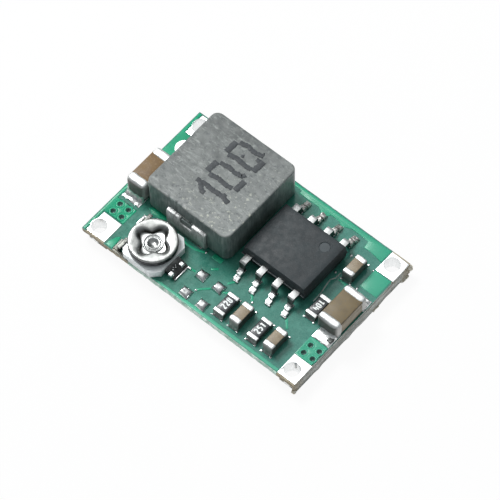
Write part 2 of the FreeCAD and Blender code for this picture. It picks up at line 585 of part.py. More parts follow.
def make_trimmer():
    """Ceramic base, resistance track, turning metal cup, wiper, eyelet and terminals."""
    base_top = seat + TRIMMER_BASE_HEIGHT
    rotor_low = base_top + ROTOR_CLEARANCE
    floor_low = rotor_low + ROTOR_CAVITY
    floor_top = floor_low + ROTOR_FLOOR
    rotor_top = rotor_low + ROTOR_HEIGHT
    head_low = floor_top + HEAD_PLAY
    x = trimmer_x
    y = trimmer_y

    shank = disc(x, y, seat, EYELET_RADIUS, head_low - seat)
    head = disc(x, y, head_low, EYELET_HEAD_RADIUS, EYELET_HEAD_HEIGHT)
    head = head.makeFillet(EYELET_HEAD_HEIGHT / 2,
                           edges_at_height(head, head_low + EYELET_HEAD_HEIGHT))
    foot = disc(x, y, seat, EYELET_FOOT_RADIUS, EYELET_FOOT_HEIGHT)
    pit = Part.makeCone(EYELET_PIT_RADIUS / 2, EYELET_PIT_RADIUS, EYELET_PIT_DEPTH,
                        Vec(x, y, head_low + EYELET_HEAD_HEIGHT - EYELET_PIT_DEPTH))
    eyelet = shank.fuse([head, foot]).cut(pit).removeSplitter()
    put("trimmer_eyelet", eyelet)

    base = block(x, y, seat, TRIMMER_LENGTH, TRIMMER_WIDTH, TRIMMER_BASE_HEIGHT)
    base = base.makeChamfer(TRIMMER_CHAMFER, upright_edges(base))
    base = base.cut(shank).cut(foot)

    track = ring(x, y, base_top, TRACK_INNER, TRACK_OUTER, TRACK_THICKNESS)
    half_gap = math.radians(TRACK_GAP_ANGLE / 2)
    far = 2 * TRACK_OUTER
    open_sector = Part.Face(Part.makePolygon([
        Vec(x, y, base_top), Vec(x - far, y + far * math.tan(half_gap), base_top),
        Vec(x - far, y - far * math.tan(half_gap), base_top), Vec(x, y, base_top)]))
    put("trimmer_track", track.cut(open_sector.extrude(Vec(0, 0, TRACK_THICKNESS))))

    rotor = disc(x, y, rotor_low, ROTOR_RADIUS, ROTOR_HEIGHT)
    rotor = rotor.makeFillet(ROTOR_EDGE, edges_at_height(rotor, rotor_top))
    pocket_height = rotor_top - floor_top
    bars = block(x, y, floor_top, 2 * SLOT_REACH, SLOT_WIDTH, pocket_height)
    bars = bars.fuse(block(x, y, floor_top, SLOT_WIDTH, 2 * SLOT_REACH, pocket_height))
    bars = bars.common(disc(x, y, floor_top, SLOT_REACH, pocket_height))
    slot = bars.fuse(disc(x, y, floor_top, SLOT_CENTRE_RADIUS, pocket_height))
    cavity = disc(x, y, rotor_low, ROTOR_RADIUS - ROTOR_SKIRT, ROTOR_CAVITY)
    bore = disc(x, y, rotor_low, EYELET_RADIUS + EYELET_RUNNING, ROTOR_HEIGHT)
    put("trimmer_rotor", rotor.cut(slot).cut(cavity).cut(bore))

    wiper_low = floor_low - WIPER_THICKNESS
    contact_low = base_top + TRACK_THICKNESS + CONTACT_PLAY
    spring = ring(x, y, wiper_low, WIPER_INNER, TRACK_OUTER, WIPER_THICKNESS)
    contact = disc(x + (TRACK_INNER + TRACK_OUTER) / 2, y, contact_low, CONTACT_RADIUS,
                   wiper_low - contact_low)
    put("trimmer_wiper", spring.fuse(contact).removeSplitter())

    middle = TAB_THICKNESS / 2
    path = [(-TAB_OVER, TRIMMER_BASE_HEIGHT + middle),
            (middle, TRIMMER_BASE_HEIGHT + middle), (middle, middle), (TAB_FOOT, middle)]
    tab = bent_strip(path, TAB_THICKNESS, TAB_WIDTH, TAB_BEND)
    left_face = x - TRIMMER_LENGTH / 2
    for side, name in ((-1, "front"), (1, "back")):
        tab_y = y + side * TAB_PITCH / 2
        terminal = placed(tab, left_face, tab_y, seat, 180)
        base = base.cut(terminal)
        put("trimmer_terminal_" + name, terminal)
        put("component_lands",
            block(left_face - (TAB_FOOT + TAB_TOE) / 2, tab_y, top,
                  TAB_FOOT + TAB_TOE, TAB_WIDTH, LAND_THICKNESS))
        put("trimmer_solder",
            placed(solder_wedge(TAB_WIDTH, TAB_TOE, TAB_THICKNESS),
                   left_face - TAB_FOOT, tab_y, seat, 180))
    put("trimmer_base", base)

    path = [(middle, WIPER_TAB_RISE), (middle, middle), (WIPER_TAB_FOOT, middle)]
    tab = bent_strip(path, TAB_THICKNESS, WIPER_TAB_WIDTH, TAB_BEND)
    right_face = x + TRIMMER_LENGTH / 2
    tab_y = y - WIPER_TAB_OFFSET
    put("trimmer_wiper_terminal", placed(tab, right_face, tab_y, seat))
    put("component_lands",
        block(right_face + (WIPER_TAB_FOOT + TAB_TOE) / 2, tab_y, top,
              WIPER_TAB_FOOT + TAB_TOE, WIPER_TAB_WIDTH, LAND_THICKNESS))
    put("trimmer_solder",
        placed(solder_wedge(WIPER_TAB_WIDTH, TAB_TOE, TAB_THICKNESS),
               right_face + WIPER_TAB_FOOT, tab_y, seat))


def write_nodes():
    """One STEP file for each named node."""
    os.makedirs("parts", exist_ok=True)
    for name, solids in nodes.items():
        shape = solids[0] if len(solids) == 1 else Part.makeCompound(solids)
        shape.exportStep("parts/" + name + ".step")
        print(f"{name}: {len(shape.Solids)} solid(s), {shape.Volume:.4f} mm3")


make_board()
make_bare_pads()
make_capacitor("input_capacitor", input_cap_x, input_cap_y, INPUT_CAP_WIDTH,
               INPUT_CAP_LENGTH, INPUT_CAP_HEIGHT, INPUT_CAP_END, LAND_TOE,
               "input_capacitor_solder")
make_capacitor("output_capacitor", output_cap_x, output_cap_y, OUTPUT_CAP_WIDTH,
               OUTPUT_CAP_LENGTH, OUTPUT_CAP_HEIGHT, OUTPUT_CAP_END, LAND_TOE,
               "output_capacitor_solder")
make_small_parts()
make_inductor()
make_chip()
make_trimmer()
write_nodes()
print(f"board {board_length:.3f} x {board_width:.3f} x {BOARD_THICKNESS}")
for label, place in (("inductor", (inductor_x, inductor_y)), ("chip", (chip_x, chip_y)),
                     ("trimmer", (trimmer_x, trimmer_y)),
                     ("corner hole", (right - HOLE_INSET_X, back - HOLE_INSET_Y))):
    print(f"{label} at {place[0]:.3f}, {place[1]:.3f}")
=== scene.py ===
# %% [markdown]
# # A small buck converter module, dressed for its photograph
#
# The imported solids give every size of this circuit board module, and this script gives them the
# look of the real thing. It goes from large to small: the board with its green mask, the copper
# under it, the solder, and then each part that is soldered on. Most pieces are made afresh with
# bmesh operators, because a photograph this close shows rounded edges, heaped solder and
# hand-pressed metal that plain solids leave out. Lengths in this file are millimetres until a
# piece is finished, because circuit boards are drawn in millimetres.

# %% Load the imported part
import bpy
import bmesh
import math
from mathutils import Matrix, Vector, noise


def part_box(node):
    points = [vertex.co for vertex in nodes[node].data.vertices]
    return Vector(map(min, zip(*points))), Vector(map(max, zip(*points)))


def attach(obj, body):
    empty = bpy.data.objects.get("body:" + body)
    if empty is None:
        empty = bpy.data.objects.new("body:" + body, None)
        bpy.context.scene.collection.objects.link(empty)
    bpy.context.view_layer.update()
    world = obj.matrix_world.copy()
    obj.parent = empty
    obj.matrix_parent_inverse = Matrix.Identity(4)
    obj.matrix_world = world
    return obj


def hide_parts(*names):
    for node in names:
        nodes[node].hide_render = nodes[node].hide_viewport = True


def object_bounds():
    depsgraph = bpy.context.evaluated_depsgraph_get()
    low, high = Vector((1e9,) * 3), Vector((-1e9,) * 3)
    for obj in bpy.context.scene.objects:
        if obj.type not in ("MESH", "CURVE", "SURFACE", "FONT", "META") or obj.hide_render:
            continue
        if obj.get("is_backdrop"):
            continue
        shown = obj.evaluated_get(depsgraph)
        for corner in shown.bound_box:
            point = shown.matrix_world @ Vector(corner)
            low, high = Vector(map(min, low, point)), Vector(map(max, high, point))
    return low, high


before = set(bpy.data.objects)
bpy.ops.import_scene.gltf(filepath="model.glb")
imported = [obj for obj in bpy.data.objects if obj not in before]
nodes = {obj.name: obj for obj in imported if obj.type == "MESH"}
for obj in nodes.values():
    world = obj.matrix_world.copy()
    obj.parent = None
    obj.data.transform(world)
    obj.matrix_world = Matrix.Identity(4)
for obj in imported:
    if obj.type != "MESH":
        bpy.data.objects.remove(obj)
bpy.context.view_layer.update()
scene = bpy.context.scene
scene.view_settings.view_transform = "Standard"
MM = 0.001
NOISE_SEED = 5  # without one, the unevenness is drawn from the clock and differs on every run
noise.seed_set(NOISE_SEED)
print("nodes loaded:", len(nodes))

# %% [markdown]
# ## Colours and shader nodes
#
# A colour picked from a screen is sRGB, while the renderer counts light in a linear scale, so one
# function turns a hex value into linear numbers. One more function adds a shader node with its
# settings and links. A node graph could also be built by hand for each material, but then every
# material would need thirty lines of it.

# %% Helpers for materials


def colour(code):
    """Linear colour from an sRGB hex value."""
    channels = [int(code[i:i + 2], 16) / 255 for i in (1, 3, 5)]
    return tuple(c / 12.92 if c <= 0.04045 else ((c + 0.055) / 1.055) ** 2.4
                 for c in channels) + (1.0,)


def add(tree, kind, inputs=None, **settings):
    """Add a shader node: its own settings, and for each socket a value or a link."""
    node = tree.nodes.new("ShaderNode" + kind)
    for field, value in settings.items():
        setattr(node, field, value)
    for socket, value in (inputs or {}).items():
        if isinstance(value, bpy.types.NodeSocket):
            tree.links.new(value, node.inputs[socket])
        else:
            node.inputs[socket].default_value = value
    return node


def start_finish(name, **fixed):
    """New material with fixed values on its shader. Returns it, its tree and its shader."""
    material = bpy.data.materials.new(name)
    material.use_nodes = True
    tree = material.node_tree
    shader = tree.nodes["Principled BSDF"]
    for socket, value in fixed.items():
        shader.inputs[socket.replace("_", " ")].default_value = value
    return material, tree, shader


def place(tree, scale=(1, 1, 1), turn=(0, 0, 0), shift=(0, 0, 0)):
    """Object coordinates in millimetres, stretched and turned as a pattern needs."""
    coordinates = add(tree, "TexCoord")
    size = tuple(s / MM for s in scale)
    return add(tree, "Mapping", {"Vector": coordinates.outputs["Object"], "Scale": size,
                                 "Rotation": turn, "Location": shift}).outputs["Vector"]


def grain(tree, where, size, detail=2.0, rough=0.5, warp=0.0):
    """Noise whose lumps are about size millimetres across."""
    return add(tree, "TexNoise", {"Vector": where, "Scale": 1 / size, "Detail": detail,
                                  "Roughness": rough, "Distortion": warp}).outputs["Fac"]


def spread(tree, value, low, high, start=0.35, stop=0.65):
    """Stretch a pattern's middle part to run from low to high."""
    return add(tree, "MapRange", {"Value": value, "From Min": start, "From Max": stop,
                                  "To Min": low, "To Max": high}).outputs["Result"]


def blend(tree, factor, first, second):
    """Mix two colours, each a hex value or a colour socket."""
    a, b = (colour(c) if isinstance(c, str) else c for c in (first, second))
    mixer = add(tree, "Mix", {0: factor, 6: a, 7: b}, data_type="RGBA")
    return mixer.outputs[2]


def axis(tree, vector, letter):
    """One coordinate of a vector."""
    return add(tree, "SeparateXYZ", {"Vector": vector}).outputs[letter]


def facing(tree, letter):
    """How far a face looks along an axis. Along Z it is 1 for a flat top and 0 for a wall."""
    return axis(tree, add(tree, "TexCoord").outputs["Normal"], letter)


def combine(tree, operation, *values):
    """Result of a Math node on numbers or sockets."""
    return add(tree, "Math", dict(enumerate(values)), operation=operation).outputs[0]


def patchy(tree, where, size, low, high, detail=2.0):
    """Value that wanders between two bounds."""
    return spread(tree, grain(tree, where, size, detail), low, high)


def over(tree, tone, code, pattern, *bounds):
    """Lay a colour over a tone where a pattern, spread between bounds, is high."""
    return blend(tree, spread(tree, pattern, *bounds), tone, code)


def mottle(tree, where, size, dark, light, detail=3.0, rough=0.5):
    """Two tones in soft lumps."""
    return blend(tree, spread(tree, grain(tree, where, size, detail, rough), 0.0, 1.0), dark, light)


def bump(tree, shader, height, depth, strength=0.6):
    """Small relief of a given depth in millimetres."""
    relief = add(tree, "Bump", {"Height": height, "Distance": depth * MM,
                                "Strength": strength})
    tree.links.new(relief.outputs["Normal"], shader.inputs["Normal"])


def feed(tree, shader, **sources):
    """Link pattern outputs to the shader's sockets."""
    for socket, source in sources.items():
        tree.links.new(source, shader.inputs[socket.replace("_", " ")])


# %% [markdown]
# ## Finishes of the board
#
# A solder mask is a glossy green epoxy film. Over bare laminate the brown-grey glass cloth shows
# through and the green looks dull and bluish; over copper it looks bright. The two could be one
# material with a painted map, but here the copper really stands up under the mask, so each gets
# its own finish. The sawn edge of the laminate shows bundles of glass fibre in brown resin.

# %% Mask over laminate and over copper
mask, tree, shader = start_finish("solder_mask_over_laminate", IOR=1.5, Roughness=0.2,
                                   Specular_IOR_Level=0.36)
where = place(tree)
# The mask is lighter towards +x: a painted sheen of the wide lamp over its own mottled tone.
painted_sheen = spread(tree, axis(tree, where, "X"), 0.0, 1.0, -3.0, 7.0)
tone = blend(tree, painted_sheen, mottle(tree, where, 2.6, "#266e5e", "#347d6c"), "#38796d")
tone = blend(tree, patchy(tree, where, 0.09, 0.0, 0.16, 1.0), tone, "#6fb09c")
patches = spread(tree, grain(tree, where, 0.5, 3.0), 0.0, 0.3, 0.48, 0.7)
tone = blend(tree, patches, tone, "#62a696")
weave = add(tree, "TexWave", {"Vector": place(tree, turn=(0, 0, 0.02)), "Scale": 0.9,
                              "Distortion": 1.5, "Detail": 1.0})
feed(tree, shader, Base_Color=tone, Roughness=patchy(tree, where, 0.8, 0.14, 0.26))
bump(tree, shader, weave.outputs["Fac"], 0.004, 0.5)

mask_copper, tree, shader = start_finish("solder_mask_over_copper", IOR=1.5, Roughness=0.3,
                                          Specular_IOR_Level=0.3)
where = place(tree)
tone = mottle(tree, where, 1.5, "#129a72", "#1fa67d", 2.0)
# Lighter towards +x: a painted sheen of the wide lamp, as on the mask.
tone = over(tree, tone, "#43a88a", axis(tree, where, "X"), 0.0, 1.0, -2.0, 8.5)
tone = over(tree, tone, "#6fc3a8", axis(tree, where, "Y"), 0.6, 0.0, -5.4, -4.9)
feed(tree, shader, Base_Color=tone, Roughness=patchy(tree, where, 0.5, 0.26, 0.38))
bump(tree, shader, grain(tree, where, 0.35), 0.005, 0.4)

# %% Edge of the laminate
SEAM_HEIGHT = 0.84
laminate, tree, shader = start_finish("glass_epoxy_laminate_edge", IOR=1.53, Roughness=0.75)
where = place(tree)
fibres = grain(tree, place(tree, (0.35, 0.35, 7.0)), 0.9, 4.0, 0.65)
broken = grain(tree, where, 0.22, 3.0, 0.6)
tone = blend(tree, spread(tree, fibres, 0.0, 1.0, 0.34, 0.64), "#7f817c", "#e0e2dc")
tone = over(tree, tone, "#aca28b", broken, 0.0, 0.7, 0.5, 0.75)
off_seam = combine(tree, "ADD", axis(tree, where, "Z"), patchy(tree, where, 1.2, -0.1, 0.1))
off_seam = combine(tree, "ABSOLUTE", combine(tree, "SUBTRACT", off_seam, SEAM_HEIGHT))
tone = over(tree, tone, "#3f413e", off_seam, 0.75, 0.0, 0.015, 0.06)
to_corner = combine(tree, "ABSOLUTE", axis(tree, where, "Y"))
tone = over(tree, tone, "#a08f70", to_corner, 0.0, 0.75, 4.5, 5.4)
feed(tree, shader, Base_Color=tone, Roughness=spread(tree, broken, 0.6, 0.9))
bump(tree, shader, combine(tree, "ADD", fibres, broken), 0.05, 0.8)

# %% Thin mask, bare laminate and torn cloth


def cloudy(name, gloss, lump, dark, light, detail=2.0, relief=None, ior=1.5):
    """Two tones in lumps. A relief has the size, detail, depth and strength of its grain."""
    material, tree, shader = start_finish(name, IOR=ior, Roughness=gloss)
    where = place(tree)
    feed(tree, shader, Base_Color=mottle(tree, where, lump, dark, light, detail))
    if relief:
        size, fineness, depth, strength = relief
        bump(tree, shader, grain(tree, where, size, fineness), depth, strength)
    return material


# Paler mask for the rims of the copper: partly the mask drawn thin over the edge, partly a painted
# highlight.
thin_mask_and_rim_highlight = cloudy("thin_mask_with_painted_highlight_on_edges", 0.25, 0.5, "#3aa585", "#7ccab1")
# Darker mask for the via wells: painted shade.
via_shade = cloudy("mask_with_painted_shade_in_via_wells", 0.3, 0.2, "#4b6a64", "#64867f")
bare_laminate = cloudy("bare_laminate_face", 0.6, 0.3, "#978a70", "#b0a78f", 3.0,
                       (0.08, 2.0, 0.01, 0.5), 1.53)
# Splinters are paler than the laminate face, as broken glass fibre is, and lighter still as painted
# light against the shade under the edge.
splinter_laminate_with_painted_light = cloudy("splinter_laminate_with_painted_light", 0.7, 0.12, "#b9ad91", "#f0ede2", 3.0,
                             (0.06, 2.0, 0.02, 0.6), 1.53)
# Torn mask and bare cloth are pale; this finish is lighter still as painted light, since the front
# edge faces away from the lamps.
torn_mask_and_painted_light = cloudy("torn_mask_on_glass_cloth_with_painted_light", 0.6, 0.3, "#a8ccba", "#e3eee7", 3.0,
                   (0.1, 3.0, 0.03, 0.7))

# %% [markdown]
# ## Metals
#
# Tin and solder are nearly white metals whose shine depends on how they froze: a levelled pad is
# smooth, a solder joint shows soft waves, dipped capacitor ends are matt. Most differ only in
# tone, roughness and relief, so one recipe makes them, each with its own numbers; some of these
# are darker and brighter copies: painted shade on lead walls, small joints and the cup's side, a
# painted highlight on the strap tops, and a painted dark reflection on the wiper tab. Three have a
# recipe of their own: dipped ends take painted shading on their walls by the way the walls face,
# the strap is darker towards the bottom, and the cup's recess carries painted shade, with a
# painted highlight on its floor.

# %% Tin, solder and sheet metal


def metal(name, dark, light, shine, wave, depth, size_of_spots=0.4):
    """Metal whose tone runs between two colours and whose roughness between two values."""
    material, tree, shader = start_finish(name, Metallic=1.0, Roughness=0.3)
    where = place(tree)
    feed(tree, shader, Base_Color=mottle(tree, where, size_of_spots, dark, light),
         Roughness=patchy(tree, where, size_of_spots / 2, *shine))
    bump(tree, shader, grain(tree, where, wave), depth)
    return material


tinned = metal("levelled_tin_on_copper", "#e6e9ea", "#f7f8f8", (0.22, 0.36), 0.7, 0.012)
hole_tin = metal("plated_hole_wall", "#f2f4f4", "#fafbfb", (0.34, 0.44), 0.3, 0.01)
solder = metal("reflowed_solder", "#c2c5c4", "#eceeee", (0.22, 0.36), 0.16, 0.015, 0.25)
# Darker solder: painted shade on the joints of the small parts and of the straps.
solder_with_painted_shade = metal("solder_darkened_as_painted_shade", "#7f8180", "#a6a8a7", (0.3, 0.5), 0.1, 0.02, 0.12)
mottled_solder = metal("mottled_solder", "#a19f9b", "#dedcd8", (0.36, 0.5), 0.12, 0.03, 0.14)
land_solder = metal("solder_on_a_wide_land", "#c4c5c3", "#f2f3f2", (0.26, 0.42), 0.3, 0.03, 0.3)
lead_tin = metal("matt_tin_on_copper_lead", "#adafae", "#c3c5c4", (0.38, 0.5), 0.12, 0.006)
# Darker tin for the steep faces of the leads: painted shade.
lead_wall_painted_shade = metal("lead_wall_with_painted_shade", "#4c4e4d", "#6e706f", (0.4, 0.5), 0.2, 0.006)
bright_tin = metal("sheared_tin_edge", "#d3d5d5", "#eceeee", (0.2, 0.32), 0.2, 0.01)
# Brighter tin for the strap tops: a painted highlight, with dark streaks in it.
strap_top_painted_highlight = metal("strap_top_tin_with_painted_highlight", "#8b8d8c", "#e6e8e7", (0.34, 0.5), 0.1, 0.015, 0.09)
# Dark tin for the wiper tab: a painted dark reflection and painted shade.
tab_tin_painted_dark = metal("wiper_tab_with_painted_dark_reflection", "#3f4141", "#5f6161", (0.2, 0.34), 0.2, 0.01)
tab_tin = metal("tarnished_trimmer_tab", "#7d7f7b", "#a9aba5", (0.4, 0.55), 0.1, 0.03, 0.12)
foot_tin = metal("dull_trimmer_foot", "#8b8b82", "#a6a59b", (0.55, 0.7), 0.2, 0.02, 0.3)
rotor_metal = metal("pressed_nickel_steel", "#8b8d8c", "#b4b6b5", (0.22, 0.34), 0.3, 0.008)
# Dark metal for the cup's outer side: painted shade.
rotor_skirt_painted_shade = metal("nickel_steel_side_with_painted_shade", "#2f3132", "#4a4c4e", (0.24, 0.38), 0.3, 0.006)
eyelet_metal = metal("rolled_nickel_brass_eyelet", "#a3a5a4", "#c2c4c3", (0.22, 0.34), 0.3, 0.008)

# %% Dipped ends and straps


def dipped_tin(name, end_wall_shading, side_wall_shading):
    """Matt tin, bright on top, with painted shading: one tone for end walls, one for side walls."""
    material, tree, shader = start_finish(name, Metallic=1.0, Roughness=0.5)
    where = place(tree)
    slope = facing(tree, "Z")
    outward = combine(tree, "ABSOLUTE", facing(tree, "X"))
    top = mottle(tree, where, 0.4, "#cfd1d0", "#e8eae9")
    wall = blend(tree, spread(tree, outward, 0.0, 1.0, 0.4, 0.9), end_wall_shading, side_wall_shading)
    feed(tree, shader, Base_Color=blend(tree, spread(tree, slope, 1.0, 0.0, 0.3, 0.8), top, wall),
         Metallic=spread(tree, slope, 0.3, 1.0, 0.3, 0.8),
         Roughness=patchy(tree, where, 0.2, 0.42, 0.56))
    bump(tree, shader, grain(tree, where, 0.09), 0.008)
    return material


# Large capacitors: painted shade on the end walls, painted light from the white table on the side
# walls. Small parts: painted shade on both.
end_tin = dipped_tin("dipped_tin_capacitor_end", "#6a6865", "#c2c1be")
small_end_tin = dipped_tin("dipped_tin_small_part_end", "#858684", "#3f4240")

strap_tin, tree, shader = start_finish("tinned_copper_strap", Metallic=0.25, Roughness=0.5)
streaks = grain(tree, place(tree, (1.0, 1.0, 0.3)), 0.15, 4.0, 0.6)
tone = blend(tree, spread(tree, streaks, 0.0, 1.0), "#a9aba9", "#dcdedc")
height = axis(tree, place(tree), "Z")
tone = over(tree, tone, "#858986", height, 0.6, 0.0, 1.3, 2.3)
feed(tree, shader, Base_Color=tone, Roughness=spread(tree, streaks, 0.42, 0.56))
bump(tree, shader, streaks, 0.01)

# %% Pressed cup of the trimmer
cup_metal, tree, shader = start_finish("pressed_nickel_steel_cup", Metallic=1.0, Roughness=0.3)
where = place(tree)
height = axis(tree, where, "Z")
sunk = spread(tree, height, 1.0, 0.0, 2.08, 2.31)
raised = spread(tree, height, 0.0, 1.0, 1.955, 2.02)
across = combine(tree, "SUBTRACT", axis(tree, where, "X"), axis(tree, where, "Y"))
# The sloped faces inside the recess, most of all on its near half, are painted dark: painted shade.
near = spread(tree, across, 0.0, 0.9, -0.3, 0.15)
painted_recess_shade = combine(tree, "MULTIPLY", sunk, combine(tree, "MAXIMUM", raised, near))
steep = spread(tree, facing(tree, "Z"), 1.0, 0.05, 0.5, 0.86)
painted_recess_shade = combine(tree, "MULTIPLY", painted_recess_shade, steep)
tone = mottle(tree, where, 0.4, "#8f918f", "#b2b4b2")
# The floor of the recess is painted lighter: a painted highlight.
tone = over(tree, tone, "#dcdedc", height, 1.0, 0.0, 1.955, 1.99)
tone = blend(tree, painted_recess_shade, tone, "#35332f")
feed(tree, shader, Base_Color=tone, Roughness=patchy(tree, where, 0.3, 0.29, 0.42))
bump(tree, shader, grain(tree, where, 0.25), 0.012, 0.5)

# %% [markdown]
# ## Ceramics, moulding compounds and inks
#
# The capacitors are fired ceramic in three browns, the trimmer's base is glazed white alumina,
# and both the inductor and the chip are moulded from filled resin. What tells them apart at this
# distance is colour, gloss and the size of the specks, so each recipe names its own speck size.
# Three of them are dressed further on their walls, each by a function of its own: one paints light
# and one paints shade on the right side, and one draws upright streaks.

# %% Fired, moulded and printed finishes


def speckled(name, dark, light, fleck, fleck_share, gloss, lump, speck, depth, ior=1.55,
             dress=None):
    """Body colour in soft lumps, with small flecks of another colour and a fine relief."""
    material, tree, shader = start_finish(name, IOR=ior, Roughness=gloss)
    where = place(tree)
    tone = mottle(tree, where, lump, dark, light)
    if fleck:
        flecks = spread(tree, grain(tree, where, speck, 2.0, 0.6), 0.0, fleck_share, 0.55, 0.7)
        tone = blend(tree, flecks, tone, fleck)
    if dress:
        tone = dress(tree, where, tone)
    feed(tree, shader, Base_Color=tone,
         Roughness=patchy(tree, where, lump / 2, gloss - 0.06, gloss + 0.08))
    bump(tree, shader, grain(tree, where, speck), depth)
    return material


def right_side(tree):
    """1 on walls that look along +x, 0 elsewhere."""
    return spread(tree, facing(tree, "X"), 0.0, 1.0, 0.5, 0.9)


def lit_layered_side(tree, where, tone):
    """Ceramic in thin layers on the right side, painted lighter as lit by the white table, with a
    dark line along its upper edge.
    """
    layers = grain(tree, place(tree, (1.0, 0.2, 5.0)), 0.5)
    # The layers are lighter than the top: painted light from the white table.
    sawn = blend(tree, spread(tree, layers, 0.0, 1.0), "#7c6f5c", "#a39782")
    tone = blend(tree, right_side(tree), tone, sawn)
    rim_line = spread(tree, axis(tree, where, "Z"), 0.0, 0.85, 2.2, 2.23)
    return blend(tree, combine(tree, "MULTIPLY", rim_line, right_side(tree)), tone, "#443d33")


def shaded_right_side(tree, where, tone):
    """Painted shade on the right side."""
    return blend(tree, right_side(tree), tone, "#393a36")


def drawn_streaks(tree, where, tone):
    """Upright streaks, dark and light, that the die leaves on a pressed wall."""
    drawn = grain(tree, place(tree, (1.0, 1.0, 0.15)), 0.14, 4.0, 0.6)
    tone = over(tree, tone, "#36403e", drawn, 0.0, 0.55, 0.52, 0.66)
    return over(tree, tone, "#9aa39f", drawn, 0.45, 0.0, 0.34, 0.46)


brown_ceramic = speckled("fired_brown_ceramic", "#6d5330", "#7a603a", "#97805c", 0.5, 0.5,
                         0.9, 0.12, 0.006, 1.45)
grey_ceramic = speckled("fired_grey_brown_ceramic", "#685a40", "#7d6e50", "#5b5e66", 0.5, 0.5,
                        0.8, 0.1, 0.006, 1.45, lit_layered_side)
tan_ceramic = speckled("fired_tan_ceramic", "#83735c", "#988a72", "#aba38e", 0.6, 0.42,
                       0.5, 0.08, 0.006, dress=shaded_right_side)
alumina = speckled("glazed_alumina", "#e6ecec", "#f0f5f5", "#f8fbfb", 0.4, 0.28,
                   0.9, 0.15, 0.004, 1.6)
moulded = speckled("pressed_iron_powder_side", "#586463", "#6e7a77", None, 0.0, 0.36,
                   0.8, 0.07, 0.02, dress=drawn_streaks)
chip_resin = speckled("moulded_chip_epoxy", "#2b3134", "#30383b", "#494f52", 0.6, 0.52,
                      0.6, 0.06, 0.006, 1.38)
mark_resin = speckled("smooth_ejector_mark", "#394145", "#40494d", "#4f575b", 0.4, 0.42,
                      0.3, 0.06, 0.003, 1.42)
flash_resin = speckled("moulding_flash", "#5e6467", "#767c7f", "#8a9093", 0.5, 0.5,
                       0.3, 0.06, 0.004)
# Pale finish for a painted glint on the inductor's front left corner.
painted_edge_glint = speckled("painted_glint_on_inductor_corner", "#b6bcb7", "#d9deda", "#f0f3f0", 0.5, 0.4,
                         0.2, 0.06, 0.004)
pale_line_mask = speckled("pale_line_on_solder_mask", "#84958f", "#a9b8b2", "#c5d0cb", 0.4, 0.4,
                          0.4, 0.1, 0.004)
film_glaze = speckled("black_resistor_glaze", "#303437", "#3a3e41", "#4c5053", 0.4, 0.3,
                      0.3, 0.05, 0.004)
white_ink = speckled("white_printed_ink", "#eef6f3", "#fafdfc", "#dfe8e4", 0.4, 0.5,
                     0.1, 0.04, 0.004)
grey_ink = speckled("dark_inkjet_print", "#2b3034", "#383d41", "#565c60", 0.5, 0.6,
                    0.3, 0.08, 0.01)

# %% Top of the inductor, paler than its sides as painted light, with scuffs, pits and dust
moulded_top_painted_light, tree, shader = start_finish("pressed_iron_powder_top_painted_lighter", IOR=1.55, Roughness=0.5)
where = place(tree)
front_right = combine(tree, "SUBTRACT", axis(tree, where, "X"), axis(tree, where, "Y"))
tone = mottle(tree, where, 1.1, "#505554", "#6d7270", 4.0, 0.6)
tone = over(tree, tone, "#8d9290", front_right, 0.0, 0.75, -9.0, 1.5)
scuffs = grain(tree, place(tree, (0.7, 2.2, 1.0), turn=(0, 0, 0.9)), 0.45, 5.0, 0.7, 0.8)
tone = over(tree, tone, "#a4aaa6", scuffs, 0.0, 0.6, 0.52, 0.68)
pits = grain(tree, where, 0.2, 4.0, 0.65)
tone = over(tree, tone, "#4a5054", pits, 0.0, 0.7, 0.54, 0.68)
chalk = grain(tree, place(tree, shift=(3, 5, 7)), 0.2, 2.0, 0.6)
chalk = combine(tree, "MULTIPLY", spread(tree, chalk, 0.0, 0.9, 0.6, 0.72),
                spread(tree, front_right, 0.0, 1.0, -6.0, 0.0))
tone = blend(tree, chalk, tone, "#c9ccbc")
feed(tree, shader, Base_Color=tone, Roughness=patchy(tree, where, 0.4, 0.42, 0.6))
bump(tree, shader, grain(tree, where, 0.12, 4.0, 0.6), 0.02)

# %% [markdown]
# ## From a bmesh to a finished piece
#
# Every new piece goes through the same last steps: its mesh shrinks from millimetres to metres,
# its normals turn outwards, flat and curved faces are told apart by angle, it is tied to the
# body it rides on, and the nodes it replaces are hidden.

# %% Helpers for pieces
VERT, EDGE, FACE = bmesh.types.BMVert, bmesh.types.BMEdge, bmesh.types.BMFace
SHARP_TURN = math.radians(50)


def finish_piece(bm, name, materials, body="module", replaces=(), angle=40,
                 recalculate=True):
    """Turn a bmesh in millimetres into a piece of the scene."""
    if recalculate:
        bmesh.ops.recalc_face_normals(bm, faces=bm.faces)
    bmesh.ops.scale(bm, vec=(MM, MM, MM), verts=bm.verts)
    mesh = bpy.data.meshes.new(name)
    bm.to_mesh(mesh)
    bm.free()
    for material in materials if isinstance(materials, (list, tuple)) else [materials]:
        mesh.materials.append(material)
    mesh.shade_smooth()
    mesh.set_sharp_from_angle(angle=math.radians(angle))
    piece = bpy.data.objects.new(name, mesh)
    scene.collection.objects.link(piece)
    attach(piece, body)
    if replaces:
        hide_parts(*replaces)
    print(f"{name}: {len(mesh.polygons)} faces")


def span(name):
    """Lowest and highest corner, size and middle of a CAD node, in millimetres."""
    low, high = (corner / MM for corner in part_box(name))
    return low, high, high - low, (low + high) / 2


def ripple(*spot):
    """Smooth noise at a point, from about -1 to 1."""
    return noise.noise(Vector(spot))


def wobble(point, size, amount, seed=0.0):
    """Smooth random shift of a point, the same on every run."""
    spot = Vector(point) / size + Vector((seed, seed * 1.7, -seed))
    return noise.noise_vector(spot) * amount


def only(kind, geometry):
    """Vertices, edges or faces out of mixed geometry."""
    return [g for g in geometry if isinstance(g, kind)]


def each_once(items):
    """Items without repeats, in the same order on every run, which a set doesn't keep."""
    return list(dict.fromkeys(items))


